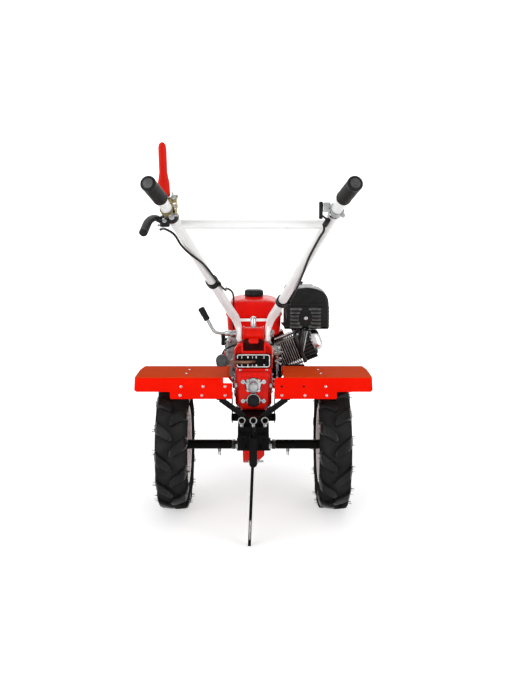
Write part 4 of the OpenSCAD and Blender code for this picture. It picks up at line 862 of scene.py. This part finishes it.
parts = []
for s in SIDES:
    seam = np.stack([np.full(24, s * 34.4), np.linspace(-150, -236, 24), np.full(24, 366.6)], -1)
    parts.append(sweep(seam, 2.4 + 0.7 * np.cos(np.arange(24) * 2.1), 8, UP))
    parts += bolt((s * 30, -290, 308), REAR, 5.6, 5) + bolt((s * 38, -290.2, 331), REAR, 4.2, 4)
seam = np.stack([np.linspace(-50, 50, 40), np.full(40, -262.6), np.full(40, 345.6)], -1)
parts.append(sweep(seam, 1.8 + 0.6 * np.cos(np.arange(40) * 2.1), 8, UP))
put("hitch_weld_beads", parts, [BLACK], "chassis")
edge = np.array([(-0.3, -391.5, 86), (-0.3, -402, 52), (-0.3, -409.5, 27)])
edge[:, 0] = (edge[:, 2] - 305) * math.sin(math.radians(2.4))
put("coulter_worn_edge", [sweep(smooth(edge, 5), 2.6, 8, AHEAD, 0.8),
    sweep(smooth(edge + [0, 4, 0], 5), 4.9, 10, AHEAD, 1.2)], [WORN], "chassis")

# Engine: castings as bevelled outlines, fan and starter turned about the crankshaft
o = fillet([(-64, 356.6), (64, 356.6), (64, 402), (84, 436), (84, 540), (60, 606), (-88, 606), (-104, 590),
    (-104, 486), (-82, 448), (-64, 402)], 7, 4)
parts = [slab(o, 150, 290, "y", 5, 4), rod((0, 149, CRANK_Z), (0, 153, CRANK_Z), 92, 1.5, 64),
    on_bore(box((50, -56, -56), (103.4, 56, 56), 5, "x", 8))]
for z in (500, 514, 528, 542, 556, 570):
    parts.append(box((-108, 158, z), (-96, 282, z + 5), 1.6, "y", 2.4))
for x, z in ((-92, 596), (-96, 494), (-70, 436), (-56, 372), (56, 372), (70, 440),
        (74, 536), (-10, 598), (50, 596)):
    parts.append(rod((x, 143, z), (x, 156, z), 8.5, 1.2, 24))
    parts += bolt((x, 143, z), REAR, 4.8, 5, 1)
parts += [tint(lathe([(9, 0), (13, 0), (14, 2), (14, 9), (11, 12), (5, 12)], (-64, 190, 384), (-1, 0, -0.1), 36,
    ripple=lambda t: 0.9 * np.cos(9 * t)), 2), tint(rod((-64, 250, 372), (-72, 250, 372), 8, 1, 6), 1),
    rod((-104, 220, 540), (-108, 220, 540), 30, 1.5, 40)]
parts += [tint(rod((-108, 220, 540), (-112, 220, 540), 10, 1.5, 6), 1)]
lead = smooth([(-106, 168, 556), (-100, 148, 566), (-86, 147, 573), (-70, 147, 577), (-62, 150, 580)], 6)
parts += [tint(sweep(lead, 3, 10, AHEAD), 2), tint(rod((-86, 146, 590), (-86, 151, 590), 5, 1, 20), 2),
    box((-98, 146, 580), (-66, 151, 602), 1.4, "y", 6), box((-100, 146, 548), (-68, 151, 565), 1.4, "y", 6)]
for z in (553, 566, 579):
    parts.append(tint(box((-110, 160, z), (-102, 200, z + 7), 1.2, "y", 2), 2))
put("crankcase_casting", parts, [ALLOY, STEEL, PLASTIC], "chassis", "crankcase")

shell = [(60, 0.2), (121, 0.2), (122, 1.4), (122, 68), (120.6, 75), (116.6, 81), (110, 84), (60, 84)]
parts = [lathe(shell, (0, 290.4, CRANK_Z), AHEAD, 80), box((0, 290.6, 510), (118, 374.2, 608), 8, "y", 14)]
for k in range(2, 8):
    a = math.radians(45 * k + 12)
    spot = (113 * math.cos(a), 374, CRANK_Z + 113 * math.sin(a))
    parts += bolt(spot, AHEAD, 4.4, 3, 1)
put("fan_housing_pressed", parts, [RED_TANK, STEEL], "chassis", "fan_housing")

case = [(50, 0.3), (106.6, 0.3), (108, 1.6), (108, 24), (106, 30), (101, 33.4), (74, 34), (71, 35), (70, 37),
    (69.6, 40.4), (67, 42.4), (30, 43), (8, 43)]
parts = [lathe(case, (0, 374.6, CRANK_Z), AHEAD, 72), box((-120, 378.6, 540), (-86, 402.6, 566), 3, "y", 5)]
slot = box((-3.2, 33.2, 77), (3.2, 35, 97), 0.5, "y", 2.6)
parts.append(tint(copies(slot, np.tile([0, 374.6, CRANK_Z], (28, 1)),
    np.stack([turn(360 / 28 * k, "y") for k in range(28)])), 1))
slot = box((-2.6, 42, 34), (2.6, 43.8, 60), 0.5, "y", 2.2)
parts.append(tint(copies(slot, np.tile([0, 374.6, CRANK_Z], (12, 1)),
    np.stack([turn(30 * k, "y") for k in range(12)])), 1))
parts += bolt((0, 417.6, CRANK_Z), AHEAD, 8, 5, 2)
grip = [(4, 0), (7, 0.6), (8.6, 3), (9, 8), (8, 20), (8, 27), (9, 38), (8.6, 43), (7, 45.6), (4, 46)]
parts.append(lathe(grip, (-124, 390.6, 536), UP, 28))
put("recoil_starter_cover", parts, [PLASTIC, VOID, STEEL], "chassis", "recoil_starter")

parts = [box((118, 312, 640), (242, 440, 668), 5, "z", 14),
    box((120, 316, 662), (240, 436, 782), 13, "x", 30), box((118.6, 320, 700), (241.4, 438, 705), 1.6, "z", 24),
    lathe([(8, 0), (10, 1), (10, 6), (6, 8)], (180, 376, 781), UP, 24)]
parts += [box((166, 374, 786), (194, 378, 796), 1.6, "y", 4)]
for k in range(5):
    parts.append(box((132 + 20 * k, 436.5, 676), (138 + 20 * k, 439.4, 760), 1.2, "y", 2.4))
put("air_cleaner_case", parts, [PLASTIC], "chassis", "air_cleaner")
parts = [box((155, 314, 562), (215, 374, 620), 5, "z", 9),
    lathe([(10, 0), (18, 1), (21, 4), (22, 9), (22, 27), (24, 27.6), (24, 31)], (185, 344, 536), UP, 36),
    lathe([(20, 0), (24, 1), (24, 28), (22, 29.4)], (185, 344, 610), UP, 36),
    rod((185, 282.4, 585), (185, 316, 585), 15, 1.5, 32), box((160, 306, 566), (210, 314, 604), 2, "y", 8)]
for place, way, r in (((166, 306, 585), REAR, 4.6), ((204, 306, 585), REAR, 4.6), ((185, 344, 536), DOWN, 6)):
    parts += bolt(place, way, r, 5, 1)
parts += [tint(rod((151, 344, 604), (151, 344, 616), 4), 1),
    tint(box((150, 330, 600), (153, 356, 606), 0.8, "x", 2), 1)]
put("carburettor_body", parts, [ALLOY, STEEL], "chassis", "carburettor")


# Rims, axle tubes and clips
def wheel_on_axle(s):
    """Rim, dished disc, tube and flange turned about the axle from stepped profiles; nuts and a hanging clip."""
    name = "left" if s < 0 else "right"
    hub, out = np.array([0, 0, AXLE_Z]), (s, 0, 0)
    half = [(140, 45.8), (130, 45.4), (126.6, 42), (126.4, 30), (124, 27.4), (115, 23.4), (113.4, 21)]
    inside = [(110, 20), (111.6, 22.6), (121, 28), (123, 31), (123.2, 45), (125.4, 48.4), (129, 49), (140, 49.2),
        (141.6, 48.4), (141.8, 46.8)]
    section = half[::-1] + inside[::-1]
    section = section + [(r, -x) for r, x in section[::-1]]
    rim = lathe([(r, WHEEL_X + x) for r, x in section], hub, out, 96, loop=True)
    disc = [(24, 261), (24, 267), (70, 267), (74, 268.4), (80, 274.6), (84, 276), (112.4, 276), (112.4, 270),
        (84, 270), (80, 268.4), (74, 262), (70, 261)]
    parts = [rim, lathe(disc, hub, out, 96, loop=True)]
    bead = [(112 + 2.6 * math.cos(q), 277 + 2.6 * math.sin(q)) for q in np.linspace(0, 2 * math.pi, 7)[:-1]]
    parts.append(lathe([(r - 0.8, x) for r, x in bead], hub, out, 96, loop=True))
    put("rim_rolled_" + name, parts, [WHITE], "wheel_" + name, "rim_" + name)

    tube = [(14.4, 80), (16.2, 80), (17, 81), (17, 238), (18, 244), (20.5, 249),
        (25, 252.4), (30, 254), (14.4, 254)]
    boss = [(14.4, 258), (22, 258), (23, 259), (23, 274.6), (21.8, 276), (14.4, 276)]
    parts = [lathe(tube, hub, out, 48, loop=True), sleeve(14.4, 66, 253, 261, hub, out, 48, (1.2, 1.2)),
        lathe(boss, hub, out, 48, loop=True)]
    for a in np.radians([45, 135, 225, 315]):
        y, z = 54 * math.cos(a), AXLE_Z + 54 * math.sin(a)
        parts += bolt((s * 267.2, y, z), out, 9.6, 8, 1) + [tint(rod((s * 258, y, z), (s * 277, y, z), 6), 1)]
    put("axle_tube_turned_" + name, parts, [BLACK, STEEL], "wheel_" + name, "axle_tube_" + name)
    collar = sleeve(13, 18.4, 66.8, 79.2, hub, out, 6, (0.8, 1.2))
    put("axle_shaft_bar_" + name, [rod((s * 24, 0, AXLE_Z), (s * 270, 0, AXLE_Z), 13.9, 2, 32), collar], [OXIDE],
        "wheel_" + name, "axle_shaft_" + name)

    x = s * 125.0
    leg = smooth([(x - 2.4, 0, 194), (x - 3, 0, 200), (x - 3.4, 0, 208), (x, 0, 213), (x + 3.4, 0, 208),
        (x + 2.2, 0, 203), (x + 3.4, 0, 198), (x + 2.6, 0, 192)], 5)
    t = np.linspace(0, 2 * np.pi, 20, endpoint=False)
    eye = np.stack([x + 5.4 * np.cos(t), 0 * t, 212.6 + 5.4 * np.sin(t)], -1)
    parts = [rod((x, 0, 210), (x, 0, 252.6), 3.8, 0.8, 20), sweep(leg, 1.7, 10, AHEAD),
        sweep(eye, 1.7, 10, AHEAD, loop=True)]
    put("axle_hairpin_" + name, parts, [STEEL], "wheel_" + name, "axle_clip_" + name)


wheel_on_axle(-1)
wheel_on_axle(1)

# Engine rails, clutch housing and front guard: channels, a ribbed bell and a swept hoop
parts = []
for s in SIDES:
    o = np.array([(62, 330), (62, 356), (30, 356), (30, 352), (58, 352), (58, 334), (30, 334), (30, 330)]) * [s, 1]
    parts.append(slab(fillet(o, [3, 3, 0.9, 0.9, 1.5, 1.5, 0.9, 0.9], 2), 102.4, 476, "y", 0.5))
    for y in (185, 285):
        parts += bolt((s * 50, y, 356.2), UP, 6.5, 6, 1)
    for y in (120, 200, 300, 400):
        parts += bolt((s * 62.2, y, 343), (s, 0, 0), 5.6, 5, 1)
parts += [box((-62, 102.4, 330.4), (62, 110, 392), 1.5, "y", 6),
    box((-62, 474, 330.4), (62, 481.9, 376), 1.5, "y", 6), box((-61.6, 170, 350), (61.6, 200, 356.2), 1, "z", 4),
    box((-61.6, 270, 350), (61.6, 300, 356.2), 1, "z", 4)]
put("engine_rail_channels", parts, [BLACK, STEEL], "chassis", "engine_rails")

# The ribbed bell takes the dark head-casting finish: painted shade of the shadowed space beside the gearbox.
parts = [lathe([(50, 0), (71, 0.3), (73, 1), (74, 3), (74, 30), (78, 36), (50, 36)], (0, 102.4, 470), AHEAD, 64),
    tint(lathe([(50, 0), (90, 0.2), (92, 2), (92, 16), (90.6, 18.4), (50, 18.6)], (0, 130, CRANK_Z), AHEAD, 72), 1)]
rib = box((-3, 0, 60), (3, 26, 84), 1.2, "x", 5)
parts.append(copies(rib, np.tile([0, 106, 470], (12, 1)), np.stack([turn(30 * k + 15, "y") for k in range(12)])))
for k in range(8):
    a = math.radians(45 * k + 22.5)
    parts += bolt((84 * math.cos(a), 130, CRANK_Z + 84 * math.sin(a)), REAR, 5, 5, 2)
put("clutch_bell_casting", parts, [SHROUD_AND_BELL_SHADE, ALLOY, STEEL], "chassis", "clutch_housing")

hoop = np.array([(-74, 490, 372), (-104, 507, 385), (-130, 521, 420), (-130, 521, 470), (-95, 521, 510),
    (0, 521, 516), (95, 521, 510), (130, 521, 470), (130, 521, 420), (104, 507, 385), (74, 490, 372)], float)
t = np.linspace(0, 2 * np.pi, 48, endpoint=False)
c, q = np.cos(t), np.sin(t)
edge = np.stack([30 * np.sign(c) * np.abs(c) ** 0.22, 506 + 24 * np.sign(q) * np.abs(q) ** 0.22], -1)
eye = np.stack([8.1 * c, 498 + 8.1 * q], -1)
levels = ((eye, 338), (edge * [0.97, 1], 338), (edge, 339.2), (edge, 346.8), (edge * [0.97, 1], 348), (eye, 348))
rings = [np.column_stack([o, np.full(48, z)]) for o, z in levels]
parts = [sweep(smooth(hoop, 7), 9, 20, AHEAD), skin(np.stack(rings), loop=True),
    box((-90, 482.1, 338), (90, 488, 378), 1.4, "y", 8)]
for s in SIDES:
    weld = [(9.4 + 1.6 * math.cos(v), 1.8 * math.sin(v)) for v in np.linspace(0, 2 * math.pi, 8)[:-1]]
    parts.append(lathe(weld, (s * 76, 489.4, 372.6), (s * 0.8, 0.5, 0.3), 24, loop=True))
    parts += bolt((s * 70, 488, 350), AHEAD, 6, 5, 1)
put("front_guard_hoop", parts, [BLACK, STEEL], "chassis", "front_guard")

# Every other solid takes its finish
for node, solid in frame["nodes"].items():
    solid.data.materials.clear()
    solid.data.materials.append(BY_SLOT[SLOT_OF[node]])


# Stage: floor, sky, lamps and camera
def background_rays(new, link, ray):
    """One for rays that see the background: the largest of the camera, glossy and transmission flags."""
    seen = ray.outputs["Is Camera Ray"]
    for kind in ("Is Glossy Ray", "Is Transmission Ray"):
        most = new("ShaderNodeMath")
        most.operation = "MAXIMUM"
        link(seen, most.inputs[0])
        link(ray.outputs[kind], most.inputs[1])
        seen = most.outputs[0]
    return seen


def stage():
    """Pale floor that curves up into a backdrop, soft lamps, white sky behind, and the photograph's camera."""
    scene = bpy.context.scene
    reach, bend = 9, 2.5
    rise = [(bend + bend * math.sin(a), bend - bend * math.cos(a)) for a in np.linspace(0.1, math.pi / 2, 12)]
    run = np.vstack([[(-reach, 0), (-4, 0), (bend, 0)], rise, [(5, reach)]])
    x = np.linspace(-reach, reach, 7)
    v = np.stack([x[None] + 0 * run[:, :1], run[:, :1] + 0 * x, run[:, 1:] + 0 * x], -1)
    n, m = v.shape[:2]
    i, j = np.arange(n - 1)[:, None] * m, np.arange(m - 1)[None]
    mesh = bpy.data.meshes.new("studio_floor")
    mesh.from_pydata(v.reshape(-1, 3).tolist(), [],
        np.stack([i + j, i + j + 1, i + j + m + 1, i + j + m], -1).reshape(-1, 4).tolist())
    floor = bpy.data.objects.new("studio_floor", mesh)
    scene.collection.objects.link(floor)
    mat = bpy.data.materials.new("pale studio floor")
    mat.use_nodes = True
    new, link = mat.node_tree.nodes.new, mat.node_tree.links.new
    mat.node_tree.nodes.clear()
    out, add = new("ShaderNodeOutputMaterial"), new("ShaderNodeAddShader")
    diff, glow, ray = new("ShaderNodeBsdfDiffuse"), new("ShaderNodeEmission"), new("ShaderNodeLightPath")
    near, at, ramp = new("ShaderNodeTexNoise"), new("ShaderNodeTexCoord"), new("ShaderNodeValToRGB")
    near.inputs["Scale"].default_value = 3
    ramp.color_ramp.elements[0].color, ramp.color_ramp.elements[1].color = (0.78, 0.78, 0.78, 1), (0.8, 0.8, 0.8, 1)
    link(at.outputs["Object"], near.inputs["Vector"])
    link(near.outputs["Fac"], ramp.inputs[0])
    link(ramp.outputs[0], diff.inputs["Color"])
    part = new("ShaderNodeMath")
    part.operation = "MULTIPLY"
    link(background_rays(new, link, ray), part.inputs[0])
    far, away = new("ShaderNodeVectorMath"), new("ShaderNodeMapRange")
    far.operation = "LENGTH"
    link(at.outputs["Object"], far.inputs[0])
    link(far.outputs["Value"], away.inputs["Value"])
    away.inputs["From Min"].default_value, away.inputs["From Max"].default_value = 0.9, 2.4
    away.inputs["To Min"].default_value, away.inputs["To Max"].default_value = 0.5, 0.9
    link(away.outputs[0], part.inputs[1])
    link(part.outputs[0], glow.inputs["Strength"])
    link(diff.outputs[0], add.inputs[0])
    link(glow.outputs[0], add.inputs[1])
    link(add.outputs[0], out.inputs[0])
    mesh.materials.append(mat)

    world = bpy.data.worlds.new("studio")
    scene.world = world
    world.use_nodes = True
    new, link = world.node_tree.nodes.new, world.node_tree.links.new
    world.node_tree.nodes.clear()
    out, back, ray = new("ShaderNodeOutputWorld"), new("ShaderNodeBackground"), new("ShaderNodeLightPath")
    back.inputs["Color"].default_value = (1, 1, 1, 1)
    at, dot, level, mix = (new("ShaderNodeTexCoord"), new("ShaderNodeVectorMath"),
        new("ShaderNodeMapRange"), new("ShaderNodeMath"))
    dot.operation = "DOT_PRODUCT"
    dot.inputs[1].default_value = (0, 0.5, 0.87)
    link(at.outputs["Generated"], dot.inputs[0])
    level.interpolation_type = "SMOOTHSTEP"
    level.inputs["From Min"].default_value, level.inputs["From Max"].default_value = -0.45, 0.6
    level.inputs["To Min"].default_value, level.inputs["To Max"].default_value = 0.1, 0.55
    link(dot.outputs["Value"], level.inputs["Value"])
    mix.operation = "MAXIMUM"
    link(level.outputs[0], mix.inputs[0])
    link(background_rays(new, link, ray), mix.inputs[1])
    link(mix.outputs[0], back.inputs["Strength"])
    link(back.outputs[0], out.inputs[0])

    for name, place, aim, power, size in (
            ("key", (-1.8, -3.2, 2.6), (0, 0, 0.5), 30, 2.0),
            ("fill", (2.6, -2.8, 2.2), (0, 0, 0.5), 14, 2.0),
            ("low_left", (-3.2, -2.8, 0.8), (0, 0, 0.4), 64, 1.6),
            ("low_right", (3.2, -2.8, 0.8), (0, 0, 0.4), 64, 1.6),
            ("top", (0, 0.6, 3.6), (0, 0.2, 0.4), 18, 2.4),
            ("back", (0.6, 3.4, 2.4), (0, 0.2, 0.5), 28, 2.4)):
        lamp = bpy.data.lights.new(name, "AREA")
        lamp.energy, lamp.size = power, size
        o = bpy.data.objects.new(name, lamp)
        o.location = place
        d = np.subtract(aim, place)
        o.rotation_euler = (math.atan2(math.hypot(d[0], d[1]), -d[2]), 0, math.atan2(d[0], -d[1]) + math.pi)
        scene.collection.objects.link(o)

    cam = bpy.data.cameras.new("camera")
    focal, across, sensor = 930, 516, 36
    cam.sensor_fit, cam.sensor_width, cam.lens = "HORIZONTAL", sensor, focal / across * sensor
    cam.clip_end = 60
    o = bpy.data.objects.new("camera", cam)
    o.location = (0.0157, -3.3 + AXLE[1] / 1000, 1.1589)
    o.rotation_euler = (math.radians(80.5), 0, 0)
    scene.collection.objects.link(o)
    scene.camera = o
    scene.view_settings.view_transform = "Standard"


stage()
